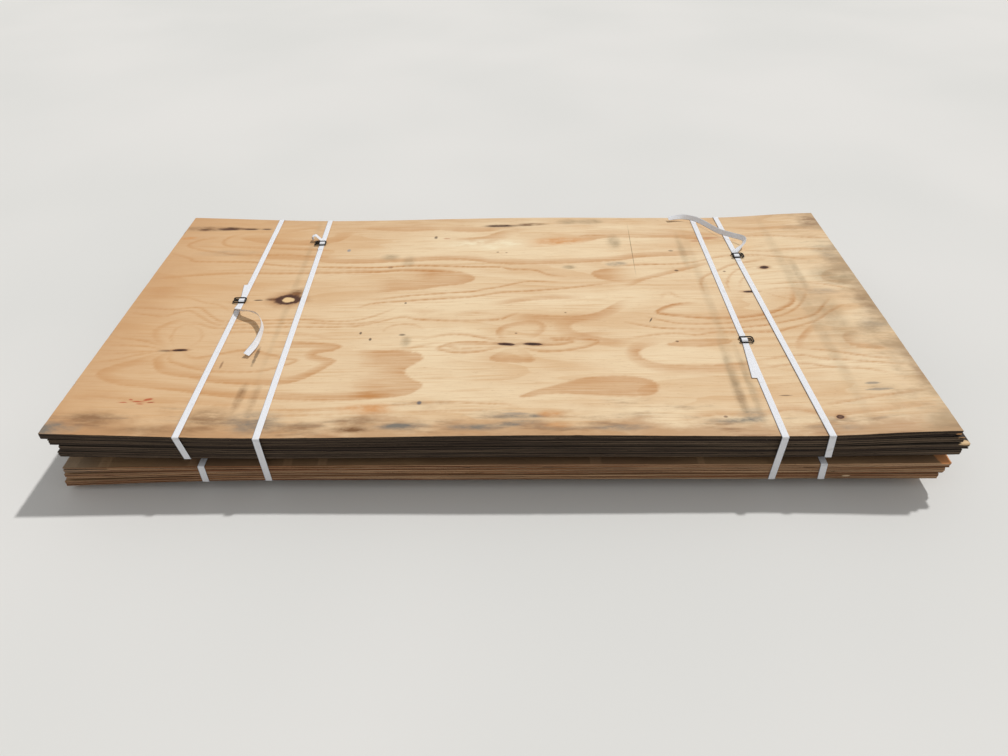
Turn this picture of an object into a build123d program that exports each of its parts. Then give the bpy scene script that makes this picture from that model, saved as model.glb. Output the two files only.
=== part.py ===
from build123d import *
import os
from dataclasses import dataclass

# Two strapped bundles of 4 x 8 ft pine plywood, one on the other, stored flat.
# Frame: X along the sheets, Y across them (the near long edge is -Y), Z up.
# Origin: on the floor, under the middle of the top sheet.

# Sheets
SHEET_LENGTH = 2438.0
SHEET_WIDTH = 1219.0
SHEET_THICKNESS = 19.0
SHEET_GAP = 0.7
SEAT_GAP = 0.3

# Lumber under and between the bundles, one board in the middle and one inside each outer strap
BEARER_HEIGHT = 38.0
BEARER_WIDTH = 89.0
SPACER_HEIGHT = 25.0
SPACER_WIDTH = 89.0
LUMBER_SETBACK = 60.0
LUMBER_CLEARANCE = 15.0
LUMBER_EASE = 2.0

# The straps hold the sheets flat on each other between these distances from the two ends
HOLD_INSET_LEFT = 599.0
HOLD_INSET_RIGHT = 404.0

# Straps, and how far in from the nearer end of the sheets each one crosses the near top edge
STRAP_WIDTH = 19.0
STRAP_THICKNESS = 0.8
STRAP_CLEARANCE = 0.3
STRAP_BEND = 1.3
LAYER_PRESS = 0.05
STRAP_A_INSET = 365.0
STRAP_B_INSET = 580.0
STRAP_C_INSET = 459.0
STRAP_D_INSET = 335.0
STRAP_E_INSET = 403.0
STRAP_F_INSET = 330.0

# Wire buckles: one wire, two outer bars across the strap and two prongs between them
WIRE = 3.5
WIRE_SIDES = 8
BUCKLE_SPARE = 21.0
BAR_SPREAD = 14.0
PRONG_SPREAD = 4.0
PRONG_CLEARANCE = 1.0
BUCKLE_ROUNDING = 7.0
TIGHT_TURN = 4.9
BUCKLE_LENGTH = STRAP_WIDTH + BUCKLE_SPARE

MIDDLE_TO_END = SHEET_LENGTH / 2
HOLD_LEFT = HOLD_INSET_LEFT - MIDDLE_TO_END
HOLD_RIGHT = MIDDLE_TO_END - HOLD_INSET_RIGHT
HOLD_MIDDLE = (HOLD_LEFT + HOLD_RIGHT) / 2
STRAP_A_X = STRAP_A_INSET - MIDDLE_TO_END
STRAP_B_X = STRAP_B_INSET - MIDDLE_TO_END
STRAP_C_X = MIDDLE_TO_END - STRAP_C_INSET
STRAP_D_X = MIDDLE_TO_END - STRAP_D_INSET
STRAP_E_X = STRAP_E_INSET - MIDDLE_TO_END
STRAP_F_X = MIDDLE_TO_END - STRAP_F_INSET
LUMBER_WIDTH = max(BEARER_WIDTH, SPACER_WIDTH)
LUMBER_REACH = min(-STRAP_B_X, STRAP_C_X) - (STRAP_WIDTH + LUMBER_WIDTH) / 2 - LUMBER_CLEARANCE
LUMBER_STATIONS = (-LUMBER_REACH, 0.0, LUMBER_REACH)


@dataclass(frozen=True)
class Sheet:
    """One sheet: where it lies off the others, and how far it lifts off the level."""

    name: str
    shift_x: float
    shift_y: float
    lift_left: float
    bow: float
    lift_right: float
    ease_left: float
    ease_right: float


# From the bottom up. Shifts and lifts are in mm, an ease says how early an end starts to lift.
LOWER_SHEETS = (
    Sheet("lower_sheet_1", -4.0, -4.0, -22.0, 0.0, -1.0, 0.5, 0.7),
    Sheet("lower_sheet_2", 6.0, -3.0, -13.0, 1.4, 1.5, 0.6, 0.7),
    Sheet("lower_sheet_3", 13.0, -4.0, -5.0, 2.8, 4.5, 0.9, 0.7),
)
UPPER_SHEETS = (
    Sheet("upper_sheet_1", 24.0, -0.5, 11.0, 2.8, 6.5, 0.7, 0.8),
    Sheet("upper_sheet_2", 36.0, -1.5, 14.0, 4.0, 10.5, 0.7, 0.9),
    Sheet("upper_sheet_3", 15.0, 0.5, 17.0, 5.5, 13.5, 0.7, 1.0),
    Sheet("upper_sheet_4", 0.0, 0.0, 20.0, 7.0, 17.0, 0.7, 1.0),
)

SHEET_PITCH = SHEET_THICKNESS + SHEET_GAP
LOWER_BASE = BEARER_HEIGHT + SEAT_GAP
LOWER_TOP = LOWER_BASE + len(LOWER_SHEETS) * SHEET_PITCH - SHEET_GAP
UPPER_BASE = LOWER_TOP + SPACER_HEIGHT + 2 * SEAT_GAP


def end_rise(t, ease):
    """Share of an end's lift at t, 0 where the straps hold it and 1 at the end."""
    return 3 * ease * t**2 * (1 - t) + t**3


def lift(sheet, x):
    """Height of the sheet's bend at x, above its level where the straps hold it."""
    left_end = sheet.shift_x - MIDDLE_TO_END
    right_end = sheet.shift_x + MIDDLE_TO_END
    if x < HOLD_LEFT:
        return sheet.lift_left * end_rise((HOLD_LEFT - x) / (HOLD_LEFT - left_end), sheet.ease_left)
    if x > HOLD_RIGHT:
        return sheet.lift_right * end_rise((x - HOLD_RIGHT) / (right_end - HOLD_RIGHT), sheet.ease_right)
    t = 1 - abs(x - HOLD_MIDDLE) / (HOLD_RIGHT - HOLD_MIDDLE)
    return sheet.bow * (3 * t**2 - 2 * t**3)


def bend_line(sheet, z):
    """The sheet's bend as four curves in (x, z), each level where it meets the next."""
    left_end = sheet.shift_x - MIDDLE_TO_END
    right_end = sheet.shift_x + MIDDLE_TO_END
    stations = (
        (left_end, HOLD_LEFT, sheet.lift_left, sheet.lift_left * sheet.ease_left, 0.0, 0.0),
        (HOLD_LEFT, HOLD_MIDDLE, 0.0, 0.0, sheet.bow, sheet.bow),
        (HOLD_MIDDLE, HOLD_RIGHT, sheet.bow, sheet.bow, 0.0, 0.0),
        (HOLD_RIGHT, right_end, 0.0, 0.0, sheet.lift_right * sheet.ease_right, sheet.lift_right),
    )
    curves = []
    for start, end, z0, z1, z2, z3 in stations:
        third = (end - start) / 3
        points = [(start, z + z0), (start + third, z + z1), (end - third, z + z2), (end, z + z3)]
        level = z0 == z1 == z2 == z3
        curves.append(Line(points[0], points[3]) if level else Bezier(*points))
    return curves


def make_sheet(sheet, z):
    """A sheet lying with its underside at z where the straps hold it."""
    under = bend_line(sheet, z)
    over = bend_line(sheet, z + SHEET_THICKNESS)
    ends = [Line(under[0] @ 0, over[0] @ 0), Line(under[-1] @ 1, over[-1] @ 1)]
    profile = Plane.XZ * make_face(Curve() + under + over + ends)
    half = SHEET_WIDTH / 2
    return Pos(0, sheet.shift_y + half, 0) * extrude(profile, amount=SHEET_WIDTH)


def make_lumber(width, height, z_at):
    """Boards across the sheets, one at each station, with their undersides at z_at(x)."""
    length = SHEET_WIDTH - 2 * LUMBER_SETBACK
    boards = []
    for x in LUMBER_STATIONS:
        board = Box(width, length, height, align=(Align.CENTER, Align.CENTER, Align.MIN))
        boards.append(Pos(x, 0, z_at(x)) * chamfer(board.edges().filter_by(Axis.Y), LUMBER_EASE))
    return boards


@dataclass(frozen=True)
class Curl:
    """A loose strap end: stations of its middle and the way its width points at each.

    Both are in the buckle's frame, X across the strap, Y along it, Z up off its middle.
    """

    stations: tuple
    forward: bool


# Curls, chosen by eye from the photograph
CURL_A = Curl(
    (
        ((-3, -39), 0, (1.0, 0.0, 0.0)),
        ((2, -58), 5, (0.9, 0.1, -0.35)),
        ((18, -77), 17, (0.55, 0.1, -0.8)),
        ((46, -90), 27, (0.15, 0.42, -0.88)),
        ((80, -108), 31, (-0.1, 0.2, -0.95)),
        ((103, -138), 28, (0.1, 0.25, -0.95)),
        ((118, -176), 20, (0.17, 0.25, -0.95)),
        ((118, -214), 13, (0.6, 0.1, -0.75)),
        ((113, -255), 8, (0.93, 0.0, -0.35)),
        ((102, -300), 4, (1.0, -0.15, 0.0)),
    ),
    True,
)
CURL_D = Curl(
    (
        ((0, 24), 0, (1.0, 0.0, 0.0)),
        ((14, 42), 7, (0.9, -0.1, 0.4)),
        ((30, 66), 16, (0.7, -0.2, 0.7)),
        ((30, 94), 20, (0.55, 0.1, 0.83)),
        ((8, 122), 16, (0.45, 0.25, 0.85)),
        ((-20, 158), 13, (0.43, 0.3, 0.85)),
        ((-48, 202), 12, (0.43, 0.32, 0.85)),
        ((-72, 240), 13, (0.4, 0.4, 0.83)),
        ((-98, 266), 14, (0.25, 0.5, 0.83)),
        ((-130, 280), 14, (0.05, 0.6, 0.8)),
        ((-158, 283), 12, (0.0, 0.8, 0.6)),
        ((-192, 279), 9, (0.0, 0.95, 0.3)),
    ),
    False,
)


@dataclass(frozen=True)
class Arch:
    """A loose end folded square to the strap, as the (x, z) points of the arch that it makes.

    They are in the buckle's frame, with Z up off the middle of the layer under the fold.
    """

    points: tuple
    bend: float


ARCH_B = Arch(((7, 0), (-9, 0), (-27, 17), (-39, 13), (-36, 2)), 4.0)


@dataclass(frozen=True)
class Loop:
    """A strap's way round one bundle or both, and its buckle.

    X is where it crosses the near top edge, and the drifts are how far its other turns lie off
    that in X: the far top edge, the near bottom edge and the far bottom edge. The buckle lies
    at buckle_y, off the strap's middle by buckle_shift. Beyond it the second layer lies flat
    as far as back and front, each an (x, y) from the buckle, and may end in a loose end.
    """

    name: str
    bottom: tuple
    top: tuple
    x: float
    drifts: tuple
    buckle_y: float
    buckle_shift: float
    back: tuple
    front: tuple
    loose_end: Curl | Arch | None = None


UPPER = (UPPER_SHEETS, UPPER_BASE)
LOWER = (LOWER_SHEETS, LOWER_BASE)
LOOPS = (
    Loop("strap_a", UPPER, UPPER, STRAP_A_X, (-20, 10, -17), 34, -7, (-6, 98), (-3, -39), CURL_A),
    Loop("strap_b", LOWER, UPPER, STRAP_B_X, (-43, -1, -45), 424, -7, (0, 38), (-2, -44), ARCH_B),
    Loop("strap_c", LOWER, UPPER, STRAP_C_X, (-10, -1, -10), -194, 7, (1, 36), (-8, -188)),
    Loop("strap_d", UPPER, UPPER, STRAP_D_X, (-39, 8, -34), 309, 5, (0, 24), (0, -34), CURL_D),
    Loop("strap_e", LOWER, LOWER, STRAP_E_X, (-8, -3, -8), 0, 3, (2, 70), (0, -60)),
    Loop("strap_f", LOWER, LOWER, STRAP_F_X, (-4, 6, -9), 0, -3, (-2, 66), (0, -64)),
)


def top_of(bundle, x):
    """Height of a bundle's top face at x."""
    sheets, base = bundle
    return base + (len(sheets) - 1) * SHEET_PITCH + SHEET_THICKNESS + lift(sheets[-1], x)


def under_of(bundle, x):
    """Height of a bundle's underside at x."""
    sheets, base = bundle
    return base + lift(sheets[0], x)


def long_edges(loop):
    """The nearest and the farthest Y of the sheets that a strap goes round."""
    sheets = loop.bottom[0] if loop.bottom is loop.top else loop.bottom[0] + loop.top[0]
    shifts = [sheet.shift_y for sheet in sheets]
    return min(shifts) - SHEET_WIDTH / 2, max(shifts) + SHEET_WIDTH / 2


def run(start, end, height, depth):
    """A straight run of strap between two places, as wide as the strap in X.

    A level run has the strap's thickness as its height, an upright one as its depth.
    """
    way = Vector(*end) - Vector(*start)
    normal = (0, 1, 0) if height else (0, 0, 1)
    size = height or depth
    plane = Plane(origin=start, x_dir=(1, 0, 0), z_dir=normal)
    return extrude(plane * Rectangle(STRAP_WIDTH, size), amount=way.length, dir=way.normalized())


def corner(x, y, z, turn):
    """A strap's bend over a sheet's edge, a quarter of a tube about the line at (y, z)."""
    outer = STRAP_BEND + STRAP_THICKNESS / 2
    inner = STRAP_BEND - STRAP_THICKNESS / 2
    ring = Circle(outer) - Circle(inner)
    quarter = ring & Rot(0, 0, turn) * Rectangle(2 * outer, 2 * outer, align=(Align.MIN, Align.MIN))
    return Pos(x - STRAP_WIDTH / 2, y, z) * extrude(Plane.YZ * quarter, amount=STRAP_WIDTH)


def strap_level(loop, x, top):
    """Height of the strap's middle over or under its bundle at x, clear across its width."""
    edges = (x - STRAP_WIDTH / 2, x + STRAP_WIDTH / 2)
    stand = STRAP_CLEARANCE + STRAP_THICKNESS / 2
    if top:
        return max(top_of(loop.top, edge) for edge in edges) + stand
    return min(under_of(loop.bottom, edge) for edge in edges) - stand


def over_run(loop):
    """The two ends of the strap's run over the top, as points of its middle."""
    near, far = long_edges(loop)
    stand = STRAP_CLEARANCE + STRAP_THICKNESS / 2
    back_x = loop.x + loop.drifts[0]
    front = Vector(loop.x, near - stand + STRAP_BEND, strap_level(loop, loop.x, True))
    back = Vector(back_x, far + stand - STRAP_BEND, strap_level(loop, back_x, True))
    return front, back


def make_round(loop):
    """The closed layer: level runs over and under, upright runs at the two long edges."""
    over_front, over_back = over_run(loop)
    front_x = loop.x + loop.drifts[1]
    back_x = loop.x + loop.drifts[2]
    under_front = Vector(front_x, over_front.Y, strap_level(loop, front_x, False))
    under_back = Vector(back_x, over_back.Y, strap_level(loop, back_x, False))
    r = STRAP_BEND
    t = STRAP_THICKNESS
    pieces = [
        run(over_front, over_back, t, 0),
        run(under_front, under_back, t, 0),
        corner(over_front.X, over_front.Y, over_front.Z - r, 90),
        corner(over_back.X, over_back.Y, over_back.Z - r, 0),
        corner(under_front.X, under_front.Y, under_front.Z + r, 180),
        corner(under_back.X, under_back.Y, under_back.Z + r, 270),
    ]
    for low, high, out in ((under_front, over_front, -r), (under_back, over_back, r)):
        foot = (low.X, low.Y + out, low.Z + r)
        head = (high.X, high.Y + out, high.Z - r)
        pieces.append(run(foot, head, 0, t))
    return pieces[0].fuse(*pieces[1:])


# Heights in the buckle's frame, above the middle of the strap's first layer
SECOND_LAYER = STRAP_THICKNESS - LAYER_PRESS
WIRE_LEVEL = SECOND_LAYER + (STRAP_THICKNESS + WIRE) / 2 + STRAP_CLEARANCE
OVER_PRONGS = WIRE_LEVEL + (STRAP_THICKNESS + WIRE) / 2 + STRAP_CLEARANCE

# How far from the buckle's middle the second layer lies flat, turns up and runs level again
HUMP_REACH = BAR_SPREAD + WIRE
HUMP_FOOT = BAR_SPREAD - 0.6 * WIRE
HUMP_HEAD = PRONG_SPREAD + 0.45 * WIRE

# Sections of a curl in each span between its stations
CURL_SECTIONS = 2


def buckle_frame(loop):
    """The plane on the strap's first layer at its buckle, Y along the strap and Z up."""
    front, back = over_run(loop)
    along = (back - front).normalized()
    up = Vector(1, 0, 0).cross(along).normalized()
    place = front + along * ((loop.buckle_y - front.Y) / along.Y)
    return Plane(origin=place, x_dir=along.cross(up), z_dir=up)


def make_buckle(loop):
    """The wire buckle: prong, tight turn, bar, rounded side, bar, tight turn, prong."""
    left = loop.buckle_shift - BUCKLE_LENGTH / 2
    right = loop.buckle_shift + BUCKLE_LENGTH / 2
    prong_tip = right - WIRE - PRONG_CLEARANCE
    half = [(prong_tip, PRONG_SPREAD), (left, PRONG_SPREAD), (left, BAR_SPREAD), (right, BAR_SPREAD)]
    points = half + [(x, -y) for x, y in reversed(half)]
    turns = [TIGHT_TURN, TIGHT_TURN, BUCKLE_ROUNDING]
    path = FilletPolyline(*points, radius=turns + turns[::-1])
    wire = RegularPolygon(WIRE / 2, WIRE_SIDES, major_radius=False)
    section = Plane(origin=path @ 0, z_dir=path % 0) * wire
    return buckle_frame(loop) * Pos(0, 0, WIRE_LEVEL) * sweep(section, path=path)


def make_hump():
    """The second layer through the buckle: under both bars and over both prongs."""
    half = [(-HUMP_REACH, SECOND_LAYER), (-HUMP_FOOT, SECOND_LAYER), (-HUMP_HEAD, OVER_PRONGS)]
    points = half + [(-y, z) for y, z in reversed(half)]
    line = FilletPolyline(*points, radius=STRAP_BEND)
    ribbon = Plane.YZ * trace(line, line_width=STRAP_THICKNESS)
    return Pos(-STRAP_WIDTH / 2, 0, 0) * extrude(ribbon, amount=STRAP_WIDTH)


def make_leaf(end):
    """The second layer beyond the buckle, flat on the first, to its end at (x, y)."""
    start = HUMP_REACH if end[1] > 0 else -HUMP_REACH
    return run((0, start, SECOND_LAYER), (*end, SECOND_LAYER), STRAP_THICKNESS, 0)


def make_curl(curl):
    """A loose end that leaves the second layer and lifts, twists and bends in the air."""
    middles = []
    for (x, y), rise, _ in curl.stations:
        middles.append(Vector(x, y, SECOND_LAYER + rise))
    widths = [Vector(*width).normalized() for _, _, width in curl.stations]
    start_way = Vector(0, -1, 0) if curl.forward else Vector(0, 1, 0)
    middle_line = Spline(*middles, tangents=[start_way, middles[-1] - middles[-2]])
    edge_line = Spline(*[m + w * STRAP_WIDTH / 2 for m, w in zip(middles, widths)])
    spans = CURL_SECTIONS * (len(middles) - 1)
    sections = []
    for step in range(spans + 1):
        share = step / spans
        way = middle_line % share
        width = (edge_line @ share) - (middle_line @ share)
        across = Vector(1, 0, 0) if step == 0 else width - way * width.dot(way)
        plane = Plane(origin=middle_line @ share, x_dir=across, z_dir=way)
        sections.append(plane * Rectangle(STRAP_WIDTH, STRAP_THICKNESS))
    return loft(sections, ruled=True)


def make_arch(arch):
    """A loose end that lies square across the second layer, then rises and falls beside it."""
    third_layer = SECOND_LAYER + STRAP_THICKNESS - LAYER_PRESS
    line = FilletPolyline(*[(x, third_layer + rise) for x, rise in arch.points], radius=arch.bend)
    ribbon = Plane.XZ * trace(line, line_width=STRAP_THICKNESS)
    return Pos(0, HUMP_REACH + STRAP_WIDTH, 0) * extrude(ribbon, amount=STRAP_WIDTH)


def make_strap(loop):
    """A strap as one solid: the closed layer, the second layer at its buckle and its loose end."""
    second = [make_hump(), make_leaf(loop.back), make_leaf(loop.front)]
    if isinstance(loop.loose_end, Curl):
        second.append(make_curl(loop.loose_end))
    if isinstance(loop.loose_end, Arch):
        second.append(make_arch(loop.loose_end))
    frame = buckle_frame(loop)
    placed = [frame * piece for piece in second]
    return make_round(loop).fuse(*placed)


def save(name, shape):
    """Write one node's solids."""
    shapes = shape if isinstance(shape, list) else [shape]
    solids = [solid for item in shapes for solid in item.solids()]
    export_step(Compound(children=solids), f"parts/{name}.step")


def main():
    """Build every piece and write one file for each node."""
    os.makedirs("parts", exist_ok=True)
    for sheets, base in (LOWER, UPPER):
        for level, sheet in enumerate(sheets):
            save(sheet.name, make_sheet(sheet, base + level * SHEET_PITCH))
    save("bearers", make_lumber(BEARER_WIDTH, BEARER_HEIGHT, lambda x: 0.0))
    save("spacers", make_lumber(SPACER_WIDTH, SPACER_HEIGHT, lambda x: top_of(LOWER, x) + SEAT_GAP))
    for loop in LOOPS:
        save(loop.name, make_strap(loop))
    save("buckles", [make_buckle(loop) for loop in LOOPS])


main()
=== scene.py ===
"""Looks for two strapped bundles of weathered pine plywood, stacked flat."""

import logging
import math
from dataclasses import dataclass
from enum import Enum

import bpy
import numpy as np
from mathutils import Matrix, Vector


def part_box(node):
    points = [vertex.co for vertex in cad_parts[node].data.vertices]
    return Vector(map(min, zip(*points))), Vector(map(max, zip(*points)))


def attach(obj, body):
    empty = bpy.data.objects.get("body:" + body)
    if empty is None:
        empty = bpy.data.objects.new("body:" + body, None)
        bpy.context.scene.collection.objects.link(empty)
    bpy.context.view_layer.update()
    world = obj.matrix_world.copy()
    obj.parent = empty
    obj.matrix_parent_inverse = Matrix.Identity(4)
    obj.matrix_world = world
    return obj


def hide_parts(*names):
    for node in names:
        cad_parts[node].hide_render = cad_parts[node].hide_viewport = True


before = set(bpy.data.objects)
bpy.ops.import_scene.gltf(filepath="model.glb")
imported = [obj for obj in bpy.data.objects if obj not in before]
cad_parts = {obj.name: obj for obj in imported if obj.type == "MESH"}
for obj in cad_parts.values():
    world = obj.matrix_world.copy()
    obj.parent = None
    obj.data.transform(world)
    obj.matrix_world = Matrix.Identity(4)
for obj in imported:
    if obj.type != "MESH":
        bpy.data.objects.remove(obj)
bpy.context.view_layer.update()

LOG = logging.getLogger("plywood_stack")
MM = 0.001
BODY = "root"
PLIES = 5
SHEET_THICKNESS = 19.0 * MM

# The camera's eye, and the level plan that the top face's marks were traced on, in metres
EYE = np.array([0.05226, -1.91574, 1.51440])
PLAN_HEIGHT = 0.21336

# The edge map counts plies from 0 on the long edges and from this on the short ones
END_PLIES = 10.0

# A half size in mm, and a shift of the edge map in metres, that are larger than any piece
WHOLE_PIECE = 1.0e6
SHEET_SHIFT = 10.0

# How far out a stain fades to nothing, in its own half sizes
STAIN_REACH = 1.6

# The share of a sheet's thickness above which its points belong to the top face
TOP_SHARE = 0.9

Socket = bpy.types.NodeSocket
Value = Socket | float


class Side(Enum):
    """Which way an edge of a sheet runs: along the face grain or across it."""

    LONG = 0
    END = 1


class Surface(Enum):
    """What a sheet's face is, as the number of its material."""

    TOP = 0
    EDGE = 1
    UNDER = 2


def linear(code: str) -> tuple[float, float, float, float]:
    """Turn an sRGB hex colour to the linear one that a shader socket takes.

    Args:
        code: Six hex digits, such as "d8b890".

    Returns:
        Red, green, blue and an alpha of 1.
    """
    parts = [int(code[i : i + 2], 16) / 255 for i in (0, 2, 4)]
    values = [c / 12.92 if c <= 0.04045 else ((c + 0.055) / 1.055) ** 2.4 for c in parts]
    return (values[0], values[1], values[2], 1.0)


def add(
    tree: bpy.types.NodeTree, kind: str, inputs: dict | None = None, out: int | str = 0, **settings: object
) -> Socket | bpy.types.Node:
    """Add a node with its settings and links.

    Args:
        tree: The node tree.
        kind: The node's type name.
        inputs: Values or sockets by the input's index or name.
        out: The output that is returned, by index or name.
        settings: Properties of the node.

    Returns:
        The output socket asked for, or the node where it has none.
    """
    node = tree.nodes.new(kind)
    for name, value in settings.items():
        setattr(node, name, value)
    for key, value in (inputs or {}).items():
        if isinstance(value, Socket):
            tree.links.new(value, node.inputs[key])
        else:
            node.inputs[key].default_value = value
    return node.outputs[out] if len(node.outputs) else node


def traced(places: np.ndarray) -> np.ndarray:
    """Find the spots on the level plan that the face's marks were traced on.

    A place and its spot are in line with the camera's eye, since the face bends below the plan.

    Args:
        places: Rows of x, y and z in metres.

    Returns:
        Rows of x and y in mm.
    """
    share = (EYE[2] - PLAN_HEIGHT) / (EYE[2] - places[:, 2:])
    return (EYE[:2] + (places[:, :2] - EYE[:2]) * share) / MM


def flowing(spots: np.ndarray, cuts: list[int]) -> np.ndarray:
    """Draw a smooth curve through all rows of spots but the first and the last.

    Args:
        spots: The rows that it goes through, and one more at each end that it heads for.
        cuts: The points in each span.

    Returns:
        The curve's points.
    """
    rows = []
    for count, a, b, c, d in zip(cuts, spots, spots[1:], spots[2:], spots[3:]):
        t = np.linspace(0, 1, count, endpoint=False)[:, None]
        rows.append(0.5 * (2 * b + (c - a) * t + (2 * a - 5 * b + 4 * c - d) * t**2
                           + (3 * b - a - 3 * c + d) * t**3))
    return np.vstack(rows + [spots[-2:-1]])


class Shader:
    """A material's node tree, with the steps that the wood's and the straps' patterns are made of."""

    def __init__(self, name: str) -> None:
        """Start an empty node material that reads Object coordinates.

        Args:
            name: The material's name.
        """
        self.material = bpy.data.materials.new(name)
        self.material.use_nodes = True
        self.tree = self.material.node_tree
        self.tree.nodes.clear()
        self.place = self.node("TexCoord", out="Object")

    def node(self, kind: str, inputs: dict | None = None, out: int | str = 0, **settings: object) -> Socket:
        """Add a node to the material, by its type without the first word, such as "Math"."""
        return add(self.tree, "ShaderNode" + kind, inputs, out, **settings)

    def product(self, *parts: Value | tuple, clamp: bool = False) -> Socket:
        """Multiply values and smooth steps.

        Args:
            parts: Sockets or numbers, or for a smooth step its value, where it starts and ends,
                and its levels before and after, which are 0 and 1 where they are left out.
            clamp: Whether the product is held between 0 and 1.

        Returns:
            The product's socket.
        """
        factors = []
        for part in parts:
            if isinstance(part, tuple):
                inputs = dict(enumerate((*part, 0.0, 1.0)[:5]))
                part = self.node("MapRange", inputs, interpolation_type="SMOOTHSTEP")
            factors.append(part)
        result = factors[0]
        for number, factor in enumerate(factors[1:], 2):
            held = clamp and number == len(factors)
            result = self.node("Math", {0: result, 1: factor}, operation="MULTIPLY", use_clamp=held)
        return result

    def total(self, *terms: Value | tuple[Socket, float]) -> Socket:
        """Add up values.

        Args:
            terms: Sockets or numbers, or a socket with its weight.

        Returns:
            The sum's socket.
        """
        result = None
        for term in terms:
            if isinstance(term, tuple):
                term = self.node("Math", {0: term[0], 1: term[1]}, operation="MULTIPLY")
            result = term if result is None else self.node("Math", {0: result, 1: term}, operation="ADD")
        return result

    def sine(self, value: Socket, spacing: float) -> Socket:
        """Return a wave along a value, from -1 to 1, with its crests a spacing apart."""
        return self.node("Math", {0: self.product(value, math.tau / spacing)}, operation="SINE")

    def grain(
        self, cells: tuple[float, float, float], detail: float, rough: float, over: Socket | None = None
    ) -> Socket:
        """Make a noise of about 0.5 in the mean.

        Args:
            cells: Its cells in a metre along each axis, so 800 gives fibres of 1.25 mm.
            detail: How many finer noises are added to it.
            rough: How strong each is beside the one before.
            over: The coordinates, or the object's own where they are left out.

        Returns:
            The noise's socket.
        """
        where = self.place if over is None else over
        scaled = self.node("VectorMath", {0: where, 1: cells}, operation="MULTIPLY")
        inputs = {"Vector": scaled, "Scale": 1.0, "Detail": detail, "Roughness": rough}
        return self.node("TexNoise", inputs)

    def oval(self, middle: tuple[float, ...], size: tuple[float, ...], turn: float = 0.0) -> Socket:
        """Measure how far a place is from the middle of an oval.

        Args:
            middle: The oval's middle in mm, as x and y or with z too.
            size: Its half sizes in mm. With two, it reaches through the whole piece.
            turn: Its turn in degrees, about Z.

        Returns:
            A distance that is 0 at the middle and 1 on the outline.
        """
        inputs = {
            "Vector": self.place,
            "Location": tuple(c * MM for c in (*middle, 0.0)[:3]),
            "Rotation": (0.0, 0.0, math.radians(turn)),
            "Scale": tuple(c * MM for c in (*size, WHOLE_PIECE)[:3]),
        }
        local = self.node("Mapping", inputs, vector_type="TEXTURE")
        return self.node("VectorMath", {0: local}, out="Value", operation="LENGTH")

    def lay(self, under: Socket | str, over: Socket | str, *cover: Value | tuple) -> Socket:
        """Lay one colour over another.

        Args:
            under: The colour beneath, as a socket or a hex code.
            over: The colour on top of it.
            cover: What the share of the top colour is the product of.

        Returns:
            The mixed colour.
        """
        inputs = {0: self.product(*cover)}
        for key, color in ((6, under), (7, over)):
            inputs[key] = linear(color) if isinstance(color, str) else color
        return self.node("Mix", inputs, out=2, data_type="RGBA")

    def patched(self, color: Socket, patches: tuple) -> Socket:
        """Lay patches of other colours over a colour.

        Args:
            color: The colour beneath.
            patches: The patches, each an oval in all three directions.

        Returns:
            The mixed colour.
        """
        for patch in patches:
            reach = self.oval(patch.place, patch.size)
            color = self.lay(color, patch.color, (reach, patch.firm, 1.0, patch.share, 0.0))
        return color

    def finish(
        self,
        color: Socket,
        roughness: Value,
        height: Socket | None = None,
        depth: float = 1.0,
        **fixed: float,
    ) -> bpy.types.Material:
        """Link the surface.

        Args:
            color: The base colour.
            roughness: A number or socket.
            height: The bump's height, from 0 to 1.
            depth: The bump's depth in mm.
            fixed: Other sockets of the surface with one value, by name with _ for spaces.

        Returns:
            The material.
        """
        inputs = {"Base Color": color, "Roughness": roughness}
        for name, value in fixed.items():
            inputs[name.replace("_", " ")] = value
        if height is not None:
            inputs["Normal"] = self.node("Bump", {"Height": height, "Distance": depth * MM, "Strength": 1.0})
        surface = self.node("BsdfPrincipled", inputs)
        self.node("OutputMaterial", {"Surface": surface})
        return self.material


@dataclass(frozen=True)
class RingDrawing:
    """How growth rings are drawn: lengths in mm and shares from 0 to 1."""

    step: float = 6.0
    crisp: float = 5.0
    broad: float = 20.0
    broad_fall: float = 0.55
    broad_gain: float = 1.05
    thin_gain: float = 1.45
    taper_points: int = 9
    least_taper: float = 0.25
    least_end: float = 12.0
    batch: int = 20000


DRAWING = RingDrawing()


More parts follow.
